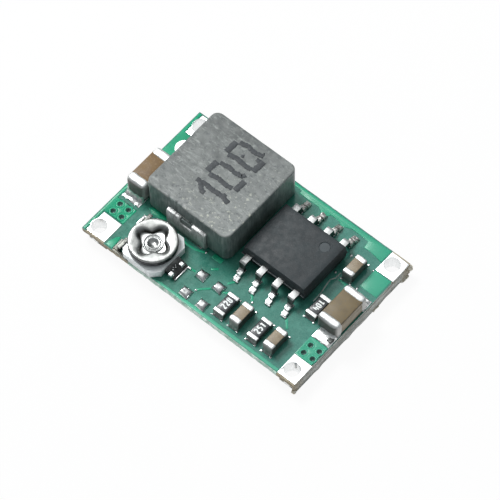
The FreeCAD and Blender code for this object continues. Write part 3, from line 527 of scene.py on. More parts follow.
def paint(bm, number, test):
    """Give the material of a number to the faces whose centre and normal pass a test."""
    for face in bm.faces:
        if test(face.calc_center_median(), face.normal):
            face.material_index = number


def move(bm, verts, shift):
    """Shift some vertices by a vector in millimetres."""
    bmesh.ops.translate(bm, vec=Vector(shift), verts=verts)


def cut(bm, normal, distance):
    """Cut a piece along a plane across an axis, at a distance from the origin."""
    bmesh.ops.bisect_plane(bm, geom=bm.verts[:] + bm.edges[:] + bm.faces[:], dist=0.0001,
                           plane_co=Vector(normal) * distance, plane_no=normal)


def round_edges(bm, edges, radius, steps=2, clamp=False):
    """Bevel some edges with a round profile."""
    bmesh.ops.bevel(bm, geom=edges, offset=radius, offset_type="OFFSET", segments=steps,
                    profile=0.5, affect="EDGES", clamp_overlap=clamp, material=-1)


def dense_cube(cuts=0):
    """Unit cube about the origin, cut into small squares, as a bmesh of its own."""
    part = bmesh.new()
    bmesh.ops.create_cube(part, size=1.0)
    if cuts:
        bmesh.ops.subdivide_edges(part, edges=part.edges[:], cuts=cuts, use_grid_fill=True)
    return part


def join(bm, part, uneven=0.0, lump=0.4):
    """Add a finished part to a piece, with a little unevenness first."""
    for vert in part.verts:
        vert.co += wobble(vert.co, lump, uneven)
    mesh = bpy.data.meshes.new("part")
    part.to_mesh(mesh)
    part.free()
    bm.from_mesh(mesh)
    bpy.data.meshes.remove(mesh)


def block(bm, centre, size, radius, steps=3, cuts=0, uneven=0.0, lump=0.4):
    """Add a box with rounded edges to a piece."""
    part = dense_cube(cuts)
    bmesh.ops.scale(part, vec=size, verts=part.verts)
    round_edges(part, [e for e in part.edges if e.calc_face_angle(0) > 1.0], radius, steps)
    move(part, part.verts, centre)
    join(bm, part, uneven, lump)


def blocks(rows, **shape):
    """New piece of boxes, each row with a centre, a size and a rounding."""
    bm = bmesh.new()
    for centre, size, radius in rows:
        block(bm, centre, size, radius, **shape)
    return bm


def plump(bm, centre, size, power, cuts=13, uneven=0.0, lump=0.4):
    """Add a square bar along y with swollen ends: the higher the power, the squarer."""
    part = dense_cube(cuts)
    for vert in part.verts:
        u, v, w = (2 * c for c in vert.co)
        section = (abs(u) ** 8 + abs(w) ** 8) ** (1 / 8)
        reach = (section ** power + abs(v) ** power) ** (1 / power)
        vert.co = Vector(centre) + Vector((u * size[0], v * size[1], w * size[2])) / (2 * reach)
    join(bm, part, uneven, lump)


def cad_copy(name):
    """The triangles of a CAD node in millimetres, welded so that edges can be rounded."""
    bm = bmesh.new()
    bm.from_mesh(nodes[name].data)
    bmesh.ops.scale(bm, vec=(1 / MM,) * 3, verts=bm.verts)
    bmesh.ops.remove_doubles(bm, verts=bm.verts, dist=0.0005)
    return bm


def soften(bm, radius, steps=3):
    """Round every edge that turns by more than SHARP_TURN."""
    bmesh.ops.dissolve_limit(bm, angle_limit=math.radians(2), verts=bm.verts,
                             edges=bm.edges)
    sharp = [e for e in bm.edges
             if e.is_manifold and e.calc_face_angle(0) > SHARP_TURN]
    round_edges(bm, sharp, radius, steps, clamp=True)


# %% [markdown]
# ## The board
#
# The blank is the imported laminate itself, copied, welded and cut into small strips so that its
# sawn edges can be roughened. A plain box would do for a new board, but this one was broken out
# of a panel: its front edge broke off at a slant, so its lower half runs in under the board, and
# all four edges are slightly ragged. Round the corner pads the mask stops short of the edge and
# the bare laminate shows.

# %% Board blank, cut into strips
board_high = span("board")[1]
board_top = board_high.z
HALF_X, HALF_Y = round(board_high.x, 3), round(board_high.y, 3)
BARE_X, BARE_Y = 8.44, 5.38  # the mask stops here beside the corner pads
LEFT_PAD_X, PAD_X, PAD_Y = (-8.17, -6.74), 7.15, 3.7
BARE_STRIPS = ((*LEFT_PAD_X, -HALF_Y, -BARE_Y), (PAD_X, HALF_X, -HALF_Y, -BARE_Y),
               (PAD_X, HALF_X, BARE_Y, HALF_Y), (BARE_X, HALF_X, -HALF_Y, -PAD_Y),
               (BARE_X, HALF_X, PAD_Y, HALF_Y))
TORN_X, TORN_Y, TORN_Z = (-4.7, 7.1), -5.42, 0.72  # mask that tore off with the panel
CUTS = (((1, 0, 0), [*LEFT_PAD_X, PAD_X, BARE_X] + [-8.375 + 0.125 * i for i in range(135)]),
        ((0, 1, 0), [-5.43, -BARE_Y, BARE_Y, -PAD_Y, PAD_Y] + [-5.2 + 0.4 * i for i in range(27)]),
        ((0, 0, 1), [0.25, 0.5, TORN_Z, 0.9]))
bm = cad_copy("board")
bmesh.ops.dissolve_limit(bm, angle_limit=math.radians(1), verts=bm.verts, edges=bm.edges)
for normal, distances in CUTS:
    for distance in distances:
        cut(bm, normal, distance)
paint(bm, 1, lambda spot, normal: abs(normal.z) < 0.5)
paint(bm, 2, lambda spot, normal: normal.z > 0.5 and any(
    x0 < spot.x < x1 and y0 < spot.y < y1 for x0, x1, y0, y1 in BARE_STRIPS))
paint(bm, 3, lambda spot, normal: (spot.y < TORN_Y and spot.z > TORN_Z
                                   and TORN_X[0] < spot.x < TORN_X[1]))
print("board cut into", len(bm.faces), "faces")

# %% Broken edges and splinters
UNDERCUT = 0.45
UNDERCUT_HEIGHT = 0.75
BURR, BURR_HEIGHT = 0.12, 0.8
SOUND_CORNER = 8.6  # the undercut fades out towards this x
SPLINTERS = (((8.54, 5.4, 0.72), (0.24, 0.32, 0.4)), ((8.53, 4.9, 0.12), (0.24, 0.66, 0.16)),
             ((8.42, -5.4, 0.2), (0.24, 0.22, 0.34)), ((8.5, 2.2, 0.1), (0.14, 0.6, 0.14)))
for vert in bm.verts:
    x, y, z = vert.co
    fade = min(max((SOUND_CORNER - x) / 0.5, 0.0), 1.0)
    ragged = 1 + 0.25 * ripple(x / 0.9, 3.1, 0.4)
    slant = -HALF_Y + UNDERCUT * fade * ragged * max(0.0, 1 - z / UNDERCUT_HEIGHT)
    vert.co.y = max(y, slant)
    on_x = abs(abs(x) - HALF_X) < 0.001
    on_y = abs(abs(y) - HALF_Y) < 0.001
    shift = wobble((x, y, z), 0.5, 0.05) + wobble((x, y, z), 0.18, 0.03, 7.0)
    shift *= 0.35 if z > 1.0 else 1.0
    if on_x:
        vert.co.x -= math.copysign(abs(shift.x), x)
        burr = ripple(5.0, y / 0.7, 1.0) + 0.5 * ripple(9.0, y / 0.25, 1.0)
        vert.co.x += math.copysign(BURR, x) * max(0.0, burr) * max(0.0, 1 - z / BURR_HEIGHT)
    if on_y:
        vert.co.y -= math.copysign(abs(shift.y), y)
    if on_y and y < 0 and z > 1.0 and TORN_X[0] < x < TORN_X[1]:
        torn = ripple(x / 0.4, 2.0, 8.0) + ripple(x / 0.15, 4.0, 8.0) * 0.6
        vert.co.z -= 0.09 + 0.08 * torn
        vert.co.y += 0.05 * torn
sound_faces = len(bm.faces)
for centre, size in SPLINTERS:
    block(bm, centre, size, 0.06, cuts=4, uneven=0.06, lump=0.12)
# Splinters take the lightened laminate: pale fibre and painted light.
for face in bm.faces[sound_faces:]:
    face.material_index = 4
finish_piece(bm, "laminate_board",
             [mask, laminate, bare_laminate, torn_mask_and_painted_light, splinter_laminate_with_painted_light],
             replaces=("board",), angle=35, recalculate=False)

# %% [markdown]
# ## Copper under the mask
#
# Copper areas and tracks stand 0.035 mm above the laminate and the mask drapes over them, which
# is why their outlines catch the light; their sloping rims also take a paler finish, partly the
# mask drawn thin over the copper edge and partly a painted highlight. Each area is one outline
# filled with a face, and each track is a ribbon along a line of points. Both are extruded and
# bevelled along their rims. The tracks could be thin boxes instead, but boxes would leave gaps
# where a track bends.

# %% Outlines of the copper
FOIL = 0.035
TRACK_WIDTH = 0.16
VIA_PLACES = [(x, y) for x in (-7.81, -7.12, 7.505, 8.195) for y in (-3.38, -2.74)]
VIA_GAP = 0.27
AREAS = [
    [(-8.44, -5.42), (-8.26, -5.42), (-8.26, -3.72), (-6.7, -3.72), (-6.7, -2.42),
     (-8.24, -2.42), (-8.24, 1.4), (-6.64, 1.4), (-6.64, 3.74), (-8.24, 3.74),
     (-8.24, 5.42), (-8.44, 5.42)],
    [(-6.62, -5.42), (-6.1, -5.42), (-6.1, -4.9), (-6.2, -4.45), (-6.4, -4.6), (-6.6, -5.1)],
    [(-6.28, -1.8), (-5.9, -1.98), (-4.85, -1.96), (-4.85, -1.5), (-6.05, -1.5)],
    [(-1.05, -1.98), (-0.3, -1.98), (-0.3, -1.62), (-1.05, -1.62)],
    [(-2.9, -5.42), (7.1, -5.42), (7.1, -5.18), (-0.2, -5.18), (-0.6, -5.24),
     (-2.2, -5.24)],
    [(7.12, -3.76), (8.42, -3.76), (8.42, -2.24), (7.12, -2.24)],
    [(7.12, 2.3), (8.42, 2.3), (8.42, 3.76), (7.12, 3.76)],
    [(0.1, 4.95), (1.7, 4.96), (2.05, 4.72), (2.45, 4.72), (2.62, 5.0), (3.3, 4.98),
     (3.6, 4.82), (3.95, 4.95), (4.23, 5.07), (4.93, 5.06), (5.54, 5.03), (5.6, 4.54),
     (6.16, 4.55), (7.1, 4.4), (7.1, 5.42), (-6.6, 5.42), (-6.6, 5.2), (0.1, 5.2)],
]
TRACKS = [
    ((-3.3, -2.2), (-2.7, -2.24), (-2.1, -2.18), (-1.62, -2.0), (-1.38, -1.86)),
    ((-0.52, -2.62), (-0.14, -2.32)),
    ((-1.68, -3.38), (-1.1, -3.36)),
    ((-0.28, -4.3), (-0.02, -4.02), (0.4, -3.62)),
    ((0.9, -2.75), (1.2, -2.35)),
    ((2.5, -2.3), (2.92, -2.78)),
    ((5.18, -2.25), (5.7, -2.8)),
    ((0.98, -3.45), (1.5, -3.15)),
    ((5.88, 1.86), (6.6, 1.76)),
]
print("areas and tracks:", len(AREAS), len(TRACKS))

# %% Copper areas and tracks


def ribbon(bm, points, width, z, ragged=0.0):
    """Flat ribbon along a line of points, whose edges may be ragged."""
    spots = [Vector(point) for point in points]
    left, right = [], []
    for i, spot in enumerate(spots):
        along = (spots[min(i + 1, len(spots) - 1)] - spots[max(i - 1, 0)]).normalized()
        across = Vector((-along.y, along.x))
        for side, sign in ((left, 1), (right, -1)):
            uneven = ripple(spot.x * 9, spot.y * 9, sign * 3.0) * ragged
            edge = spot + across * sign * (width / 2 + uneven)
            side.append(bm.verts.new((edge.x, edge.y, z)))
    return [bm.faces.new((left[i], right[i], right[i + 1], left[i + 1]))
            for i in range(len(spots) - 1)]


def raise_foil(bm, faces, height, rim):
    """Extrude flat faces upwards and round the upper rim."""
    bmesh.ops.recalc_face_normals(bm, faces=faces)
    for face in faces:
        if face.normal.z < 0:
            face.normal_flip()
    raised = bmesh.ops.extrude_face_region(bm, geom=faces)["geom"]
    move(bm, only(VERT, raised), (0, 0, height))
    tops = only(FACE, raised)
    rim_edges = [e for e in each_once(e for f in tops for e in f.edges)
                 if len([f for f in e.link_faces if f in tops]) == 1]
    round_edges(bm, rim_edges, rim, clamp=True)


def pierced(bm, face, places, z):
    """The faces that are left of a flat face when round gaps for vias are taken out."""
    rims = list(face.edges)
    bmesh.ops.delete(bm, geom=[face], context="FACES_ONLY")
    for x, y in places:
        ring = bmesh.ops.create_circle(bm, cap_ends=False, radius=VIA_GAP, segments=24)["verts"]
        move(bm, ring, (x, y, z))
        rims += each_once(e for v in ring for e in v.link_edges)
    filled = bmesh.ops.triangle_fill(bm, edges=rims, use_beauty=True, normal=(0, 0, 1))
    return only(FACE, filled["geom"])


foot = board_top - 0.01
bm = bmesh.new()
for area in AREAS:
    faces = [bm.faces.new([bm.verts.new((x, y, foot)) for x, y in area])]
    xs, ys = zip(*area)
    inside = [(x, y) for x, y in VIA_PLACES if min(xs) < x < max(xs) and min(ys) < y < max(ys)]
    if inside:
        faces = pierced(bm, faces[0], inside, foot)
    raise_foil(bm, faces, FOIL + 0.01, 0.045)
for track in TRACKS:
    raise_foil(bm, ribbon(bm, track, TRACK_WIDTH, foot), FOIL + 0.005, 0.03)
# Sloping rims take the paler finish: thin mask over the edge and a painted highlight.
paint(bm, 1, lambda spot, normal: 0.05 < abs(normal.z) < 0.85)
finish_piece(bm, "copper_under_mask", [mask_copper, thin_mask_and_rim_highlight],
             replaces=("masked_copper",), angle=60)

# %% [markdown]
# ## Plated holes
#
# The corner pads keep the imported shape, copied and with its rims rounded, because tin levelled by
# hot air never ends in a sharp edge. The vias are covered by mask: each is a green ring with a
# dark well. A well could be a dark disc, but a spun profile gives the real funnel and its shade,
# and the mask in the well is also darker, as painted shade.

# %% Corner pads
BROKEN_Y = -5.25  # the lower front rims broke off with the board's edge
for corner in ("front_left", "back_left", "front_right", "back_right"):
    bm = cad_copy("corner_pad_" + corner)
    if corner.startswith("front"):
        for vert in bm.verts:
            if vert.co.z < 0.1:
                vert.co.y = max(vert.co.y, BROKEN_Y)
    soften(bm, 0.035)
    paint(bm, 1, lambda spot, normal: 0.08 < spot.z < 1.1)
    finish_piece(bm, "pad_" + corner, [tinned, hole_tin],
                 replaces=("corner_pad_" + corner,), angle=50)

# %% Vias


def spun(profile, centre, steps):
    """Round body from a profile of (radius, height) points about an upright axis."""
    part = bmesh.new()
    points = [part.verts.new((centre[0] + r, centre[1], z)) for r, z in profile]
    lines = [part.edges.new(pair) for pair in zip(points, points[1:])]
    bmesh.ops.spin(part, geom=points + lines, cent=(centre[0], centre[1], 0),
                   axis=(0, 0, 1), angle=math.tau, steps=steps, use_merge=True,
                   use_duplicate=False)
    bmesh.ops.remove_doubles(part, verts=part.verts, dist=0.0003)
    return part


VIA_PROFILE = [(0.0, 0.92), (0.06, 0.93), (0.1, 0.97), (0.125, 1.03), (0.145, 1.09),
               (0.175, 1.133), (0.21, 1.141), (0.25, 1.139), (0.285, 1.13), (0.295, 1.05)]
VIA_BELOW = [(0.0, 0.3), (0.14, 0.28), (0.15, 0.02), (0.2, 0.002), (0.24, 0.002),
             (0.25, 0.05)]
bm = bmesh.new()
for x, y in VIA_PLACES:
    join(bm, spun(VIA_PROFILE, (x, y), 24))
    join(bm, spun(VIA_BELOW, (x, y), 24))
# Faces down in the wells take the darker mask: painted shade.
paint(bm, 1, lambda spot, normal: spot.z < 1.12)
finish_piece(bm, "masked_vias", [mask_copper, via_shade],
             replaces=("vias",), angle=80)

# %% [markdown]
# ## Power inductor
#
# The body is pressed iron powder: a block with rounded upright corners and a soft upper rim. Its
# flat top takes a second finish, paler than its sides as painted light from above, with dust and
# scuffs on it. The value 100 is printed by inkjet in strokes with gaps between
# them. The strokes are thin raised ribbons with uneven edges. A font would be quicker but would
# have even edges and no gaps.

# %% Inductor body
body_low, body_high, size, middle = span("inductor_body")
bm = dense_cube()
bmesh.ops.scale(bm, vec=size, verts=bm.verts)
upright = [e for e in bm.edges if abs(e.verts[0].co.z - e.verts[1].co.z) > 0.1]
round_edges(bm, upright, 0.5, 7)
rim = [e for e in bm.edges if all(abs(v.co.z - size.z / 2) < 1e-5 for v in e.verts)]
round_edges(bm, rim, 0.1, 4)
move(bm, bm.verts, middle)
for normal, start, step in (((1, 0, 0), body_low.x, 0.11), ((0, 1, 0), body_low.y, 0.112)):
    for i in range(60):
        cut(bm, normal, start + step * i)
# Upward faces take the paler top finish: painted light from above.
paint(bm, 1, lambda spot, normal: normal.z > 0.35)

# %% Worn rim of the inductor, with a painted glint on its front left corner
RIM_DEPTH = 0.2
CHIPPED_X, CHIPPED_Y, CHIPPED_DEPTH = (-4.75, -3.6), 0.16, 0.12
GLINT_X, GLINT_Y, GLINT_Z = -6.44, -1.5, (3.05, 3.78)
for vert in bm.verts:
    x, y, z = vert.co
    below = body_high.z - z
    if below > RIM_DEPTH:
        continue
    vert.co += wobble((x, y, z), 0.35, 0.012 * (1 - below / RIM_DEPTH))
    in_chip = CHIPPED_X[0] < x < CHIPPED_X[1] and y < body_low.y + CHIPPED_Y
    if in_chip and below < CHIPPED_DEPTH:
        bite = abs(ripple(x / 0.16, 2.0, 5.0))
        vert.co.z -= 0.16 * bite
        vert.co.y += 0.1 * bite
# A pale sliver on the front left upright corner: a painted glint.
block(bm, (GLINT_X, GLINT_Y, 3.42), (0.07, 0.07, 0.62), 0.02, 2, cuts=4, uneven=0.03, lump=0.2)
paint(bm, 0, lambda spot, normal: (CHIPPED_X[0] + 0.05 < spot.x < CHIPPED_X[1] - 0.05
                                   and spot.y < body_low.y + 0.1))
paint(bm, 2, lambda spot, normal: (abs(spot.x - GLINT_X) < 0.1 and abs(spot.y - GLINT_Y) < 0.1
                                   and GLINT_Z[0] < spot.z < GLINT_Z[1]))
finish_piece(bm, "inductor_block", [moulded, moulded_top_painted_light, painted_edge_glint],
             replaces=("inductor_body",), angle=50)

# %% Inductor marking
NOZZLE_STEP = 0.045
INK_STROKES = [
    ([(-4.24, 0.44), (-3.6, 0.5), (-3.0, 0.46), (-2.3, 0.5), (-1.62, 0.36)], 0.32),
    ([(-3.95, 0.42), (-3.72, 0.22), (-3.42, -0.02), (-3.2, 0.0)], 0.3),
    ([(-2.3, 0.6), (-2.02, 0.66)], 0.2),
    ([(-4.12, 1.3), (-4.08, 2.18)], 0.4),
    ([(-1.9, 1.3), (-1.87, 2.16)], 0.4),
    ([(-3.9, 1.2), (-3.2, 1.3), (-2.6, 1.24), (-2.14, 1.32)], 0.33),
    ([(-3.9, 2.22), (-3.3, 2.32), (-2.7, 2.26), (-2.22, 2.34), (-2.12, 2.56)], 0.31),
    ([(-4.12, 3.06), (-4.1, 4.0)], 0.4),
    ([(-1.92, 3.04), (-1.9, 3.98)], 0.4),
    ([(-2.36, 3.84), (-2.05, 3.86)], 0.26),
    ([(-3.93, 3.0), (-3.3, 3.12), (-2.7, 3.04), (-2.12, 3.06)], 0.33),
    ([(-3.93, 4.1), (-3.3, 4.22), (-2.8, 4.12), (-2.14, 4.24)], 0.31),
    ([(-3.24, 3.44), (-3.06, 3.48)], 0.2),
    ([(-2.3, 4.42), (-2.22, 4.46)], 0.1),
]


def stepped(points):
    """Points so close along a line that each can be one drop of an inkjet nozzle."""
    path = [Vector(points[0])]
    for start, stop in zip(points, points[1:]):
        start, stop = Vector(start), Vector(stop)
        count = max(1, round((stop - start).length / NOZZLE_STEP))
        path += [start.lerp(stop, (i + 1) / count) for i in range(count)]
    return path


bm = bmesh.new()
for i, (points, width) in enumerate(INK_STROKES):
    layer = body_high.z - 0.002 + 0.0009 * i
    raise_foil(bm, ribbon(bm, stepped(points), width, layer, 0.07), 0.016, 0.003)
finish_piece(bm, "inductor_value_print", grey_ink, angle=60)

# %% Inductor straps
ARM_RISE = 0.24
ARM_OFFSETS = (-0.98, 1.02)
FRONT_SHIFT = 0.12
for side, shift in (("front", FRONT_SHIFT), ("back", 0.0)):
    bm = cad_copy("inductor_strap_" + side)
    soften(bm, 0.035)
    low, high, _, middle = span("inductor_strap_" + side)
    outer, inner = (low.y, body_low.y) if side == "front" else (high.y, body_high.y)
    for offset in ARM_OFFSETS:
        arm = dense_cube()
        bmesh.ops.scale(arm, vec=(1.07, abs(outer - inner) + 0.01, 0.12), verts=arm.verts)
        move(arm, arm.verts, (middle.x + offset, (outer + inner) / 2, high.z - 0.05))
        for vert in arm.verts:
            if vert.co.z > high.z:
                vert.co.z += ARM_RISE * abs(vert.co.y - outer)
        round_edges(arm, arm.edges[:], 0.02)
        join(bm, arm)
    block(bm, (middle.x + 0.02, outer + (inner - outer) * 0.1, 2.2), (0.98, 0.04, 0.03),
          0.01, 2)
    # Upward faces of the arms and of the strip by the notch take the brighter tin: a painted
    # highlight.
    paint(bm, 1, lambda spot, normal: normal.z > 0.5 and spot.z > 2.1 and (
        abs(spot.x - middle.x) > 0.4 or abs(spot.y - outer) < 0.06))
    move(bm, bm.verts, (shift, 0, 0))
    finish_piece(bm, "inductor_terminal_" + side, [strap_tin, strap_top_painted_highlight],
                 replaces=("inductor_strap_" + side,), angle=45)
    bm = bmesh.new()
    block(bm, (middle.x + shift, (outer + 2 * inner) / 3, 2.47), (0.96, 0.15, 0.5), 0.02, 2,
          cuts=2)
    finish_piece(bm, "inductor_lip_" + side, moulded, angle=45)

# %% [markdown]
# ## Converter chip
#
# The moulding is drafted from a waist line where the mould halves meet. Its front wall swells
# out a little, and a round dimple is left by an ejector pin. It starts as a cube that is cut at
# the waist and drawn in above and below. Each lead is a line bent like the real one, widened to
# a strip and made solid. Its foot is narrower than its shoulder, and its sheared edges are
# rounded, so that they glint.

# %% Chip moulding
chip_low, chip_high, size, middle = span("chip_body")
DRAFT = 0.1
FRONT_SWELL = 0.2
front_y = chip_low.y - FRONT_SWELL
bm = dense_cube()
bmesh.ops.scale(bm, vec=size, verts=bm.verts)
cut(bm, (0, 0, 1), 0.0)
for vert in bm.verts:
    if vert.co.y < 0:
        vert.co.y -= FRONT_SWELL
    if abs(vert.co.z) > 0.1:
        vert.co.x -= math.copysign(DRAFT, vert.co.x)
        vert.co.y -= math.copysign(DRAFT, vert.co.y)
cut(bm, (0, 1, 0), 0.14 - size.y / 2)
for vert in bm.verts:
    if vert.co.y < -size.y / 2 and vert.co.z > 0.1:
        vert.co.z -= 0.06
round_edges(bm, [e for e in bm.edges if e.calc_face_angle(0) > math.radians(12)], 0.035)
move(bm, bm.verts, middle)

# %% Dimple of the ejector pin
DIMPLE_RADIUS = 0.36
DIMPLE_STEPS = ((0.96, 0.02), (0.93, 0.015), (0.5, 0.0))
dimple = Vector((chip_high.x - 1.04, chip_high.y - 0.94, chip_high.z))
for normal, at in (((1, 0, 0), dimple.x), ((0, 1, 0), dimple.y)):
    cut(bm, normal, at - 0.5)
    cut(bm, normal, at + 0.5)
patch = [f for f in bm.faces
         if f.normal.z > 0.9 and (f.calc_center_median() - dimple).length < 0.2]
square = each_once(e for f in patch for e in f.edges)
bmesh.ops.delete(bm, geom=patch, context="FACES_ONLY")
ring = bmesh.ops.create_circle(bm, cap_ends=False, radius=DIMPLE_RADIUS, segments=40)["verts"]
move(bm, ring, dimple)
circle = each_once(e for v in ring for e in v.link_edges)
bmesh.ops.triangle_fill(bm, edges=square + circle, use_beauty=True, normal=(0, 0, 1))
for shrink, drop in DIMPLE_STEPS:
    walls = bmesh.ops.extrude_edge_only(bm, edges=circle)["geom"]
    lower = only(VERT, walls)
    move(bm, lower, (0, 0, -drop))
    bmesh.ops.scale(bm, vec=(shrink, shrink, 1), verts=lower,
                    space=Matrix.Translation((-dimple.x, -dimple.y, 0)))
    circle = [e for e in only(EDGE, walls) if all(v in lower for v in e.verts)]
bmesh.ops.contextual_create(bm, geom=circle)

# %% Seam of the moulding
block(bm, middle - Vector((0, FRONT_SWELL / 2 + 0.03, 0)),
      (size.x + 0.03, size.y + FRONT_SWELL + 0.09, 0.035), 0.008, 2)
paint(bm, 1, lambda spot, normal: abs(spot.z - middle.z) < 0.03 and spot.y < front_y - 0.01)
paint(bm, 2, lambda spot, normal: (spot.z > chip_high.z - 0.05
                                   and (spot - dimple).xy.length < DIMPLE_RADIUS - 0.025))
finish_piece(bm, "chip_moulding", [chip_resin, flash_resin, mark_resin],
             replaces=("chip_body",), angle=25)

# %% Chip leads
LEAD_TOP = 1.94
LEAD_LINE = [(0.0, LEAD_TOP), (0.54, LEAD_TOP), (0.63, 1.93), (0.7, 1.9), (0.75, 1.83),
             (0.775, 1.7), (0.79, 1.52), (0.82, 1.36), (0.89, 1.28), (0.98, 1.25), (1.12, 1.25)]
LEAD_WIDTH, LEAD_THICKNESS = 0.45, 0.2
LEAD_PITCH = 1.27
chip_x = (chip_low.x + chip_high.x) / 2
LEAD_PLACES = [chip_x + (i - 1.5) * LEAD_PITCH for i in range(4)]
LEAD_ROOT = 0.1  # how far a lead runs into the moulding
bm = bmesh.new()
for sign, face_y in ((-1, front_y), (1, chip_high.y)):
    for x in LEAD_PLACES:
        strip = bmesh.new()
        line = [strip.verts.new((x - LEAD_WIDTH / 2, face_y + sign * (y - LEAD_ROOT), z))
                for y, z in LEAD_LINE]
        edges = [strip.edges.new(pair) for pair in zip(line, line[1:])]
        side = bmesh.ops.extrude_edge_only(strip, edges=edges)["geom"]
        move(strip, only(VERT, side), (LEAD_WIDTH, 0, 0))
        bmesh.ops.recalc_face_normals(strip, faces=strip.faces)
        bmesh.ops.solidify(strip, geom=strip.faces[:], thickness=LEAD_THICKNESS)
        lift = LEAD_TOP + LEAD_THICKNESS / 2 - max(v.co.z for v in strip.verts)
        move(strip, strip.verts, (0, 0, lift))
        bmesh.ops.recalc_face_normals(strip, faces=strip.faces)
        soften(strip, 0.05)
        for vert in strip.verts:
            narrow = 0.72 + 0.28 * min(max((vert.co.z - 1.5) / 0.35, 0.0), 1.0)
            vert.co.x = x + (vert.co.x - x) * narrow
        # Steep faces below the shoulder take the darker tin: painted shade.
        paint(strip, 1, lambda spot, normal: abs(normal.z) < 0.55 and spot.z < LEAD_TOP - 0.02)
        join(bm, strip, 0.015, 0.25)
finish_piece(bm, "chip_gull_wings", [lead_tin, lead_wall_painted_shade],
             replaces=("chip_leads",), angle=45)

# %% [markdown]
# ## Capacitors and resistors
#
# A ceramic capacitor is a fired block dipped in tin paste at both ends, so its ends are a little
# fatter than the block and round at every corner. A thick film resistor is flat: a black glaze on
# white ceramic with a strip of tin folded round each end. Both start as cubes: the bodies and the
# strips have bevelled edges, and the dipped ends are swollen by a formula, as paste is.

# %% Capacitors
PLUMP_SHARE = 0.79  # an end's length over that of the swollen bar that makes it


def capacitor(name, ceramic, tin, end_length, power, swell):
    """Ceramic block with two swollen tin ends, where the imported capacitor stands."""
    _, _, size, middle = span(name + "_ends")
    dipped = end_length / PLUMP_SHARE
    bm = bmesh.new()
    block(bm, middle, (size.x - 2 * swell, size.y - dipped, size.z - 2 * swell), 0.07)
    finish_piece(bm, name + "_ceramic", ceramic, replaces=(name + "_body",))
    bm = bmesh.new()
    for sign in (-1, 1):
        spot = (middle.x, middle.y + sign * (size.y - dipped) / 2, middle.z)
        plump(bm, spot, (size.x, dipped, size.z), power, uneven=0.012)
    finish_piece(bm, name + "_tin", tin, replaces=(name + "_ends",),
                 angle=70)


SIDES = ("left", "right", "side")
capacitor("input_capacitor", brown_ceramic, end_tin, 0.66, 3.4, 0.05)
capacitor("output_capacitor", grey_ceramic, end_tin, 0.58, 3.0, 0.05)
for side in SIDES:
    capacitor("small_capacitor_" + side, tan_ceramic, small_end_tin, 0.36, 4.2,
              0.03)

# %% Printed numbers
DIGITS = {
    "0": [[(0.5, 1), (0.12, 0.88), (0, 0.5), (0.12, 0.12), (0.5, 0), (0.88, 0.12), (1, 0.5),
           (0.88, 0.88), (0.5, 1), (0.3, 0.95)]],
    "1": [[(0.6, 1), (0.6, 0)], [(0.15, 0.78), (0.6, 0.96)]],
    "2": [[(0.02, 0.76), (0.2, 0.95), (0.55, 1), (0.92, 0.84), (0.88, 0.6), (0.05, 0.04)],
          [(0, 0.02), (1.05, 0.02)]],
    "4": [[(0.1, 0.98), (0.02, 0.42), (0.98, 0.42)], [(0.75, 0.75), (0.75, 0)]],
    "5": [[(0.95, 1), (0.1, 1)], [(0.1, 1), (0.06, 0.56)],
          [(0.06, 0.58), (0.5, 0.64), (0.94, 0.5), (0.96, 0.2), (0.5, 0), (0.02, 0.1)]],
    "8": [[(0.5, 1), (0.1, 0.88), (0.12, 0.62), (0.5, 0.53), (0.88, 0.62), (0.9, 0.88),
           (0.5, 1), (0.3, 0.95)],
          [(0.5, 0.53), (0.04, 0.4), (0.04, 0.12), (0.5, 0), (0.96, 0.12), (0.96, 0.4),
           (0.5, 0.53), (0.3, 0.5)]],
}
DIGIT_WIDTH = 0.16
DIGIT_HEIGHT = 0.38
DIGIT_STEP = 0.275
DIGIT_STROKE = 0.1


def printed_number(digits, centre, z, turn, name):
    """Plain numbers as thin raised strokes, drawn about a centre."""
    bm = bmesh.new()
    spin = Matrix.Rotation(turn, 2)
    layer = z
    for place_in_row, digit in enumerate(digits):
        start = (place_in_row - (len(digits) - 1) / 2) * DIGIT_STEP - DIGIT_WIDTH / 2
        for stroke in DIGITS[digit]:
            points = [spin @ Vector((start + x * DIGIT_WIDTH, (y - 0.5) * DIGIT_HEIGHT))
                      for x, y in stroke]
            points = [(p.x + centre[0], p.y + centre[1]) for p in points]
            raise_foil(bm, ribbon(bm, points, DIGIT_STROKE, layer), 0.012, 0.003)
            layer += 0.0006
    finish_piece(bm, name, white_ink, angle=60)


# %% Resistors
END_STRIP = 0.28
QUARTER = math.radians(90)
for side, digits, turn in zip(SIDES, ("228", "251", "104"), (QUARTER, QUARTER, -QUARTER)):
    name = "resistor_" + side
    _, high, size, middle = span(name + "_ends")
    bm = bmesh.new()
    block(bm, middle, (size.x - 0.04, size.y - 0.1, size.z - 0.06), 0.05)
    block(bm, middle + Vector((0, 0, 0.01)), (size.x - 0.08, size.y - 0.5, size.z - 0.02), 0.06)
    finish_piece(bm, name + "_glaze", film_glaze,
                 replaces=(name + "_body", name + "_film"))
    bm = bmesh.new()
    for sign in (-1, 1):
        spot = (middle.x, middle.y + sign * (size.y - END_STRIP) / 2, middle.z)
        block(bm, spot, (size.x, END_STRIP, size.z + 0.01), 0.05, uneven=0.012, lump=0.3)
    finish_piece(bm, name + "_tin", small_end_tin,
                 replaces=(name + "_ends",), angle=70)
    printed_number(digits, (middle.x, middle.y + 0.02), high.z - 0.004, turn, name + "_value")

# %% [markdown]
# ## Trimmer
#
# A 3 mm trimmer is a white ceramic base with a pressed metal cup that turns on an eyelet. The
# cup's recess is a soft cross: it is deepest and widest along the two slot directions and bulges
# inward between them. The cup is one spun profile. Afterwards the points of its inner wall are
# moved in and out with the angle, because a cutter shaped as a cross would leave sharp corners
# that a press never makes.

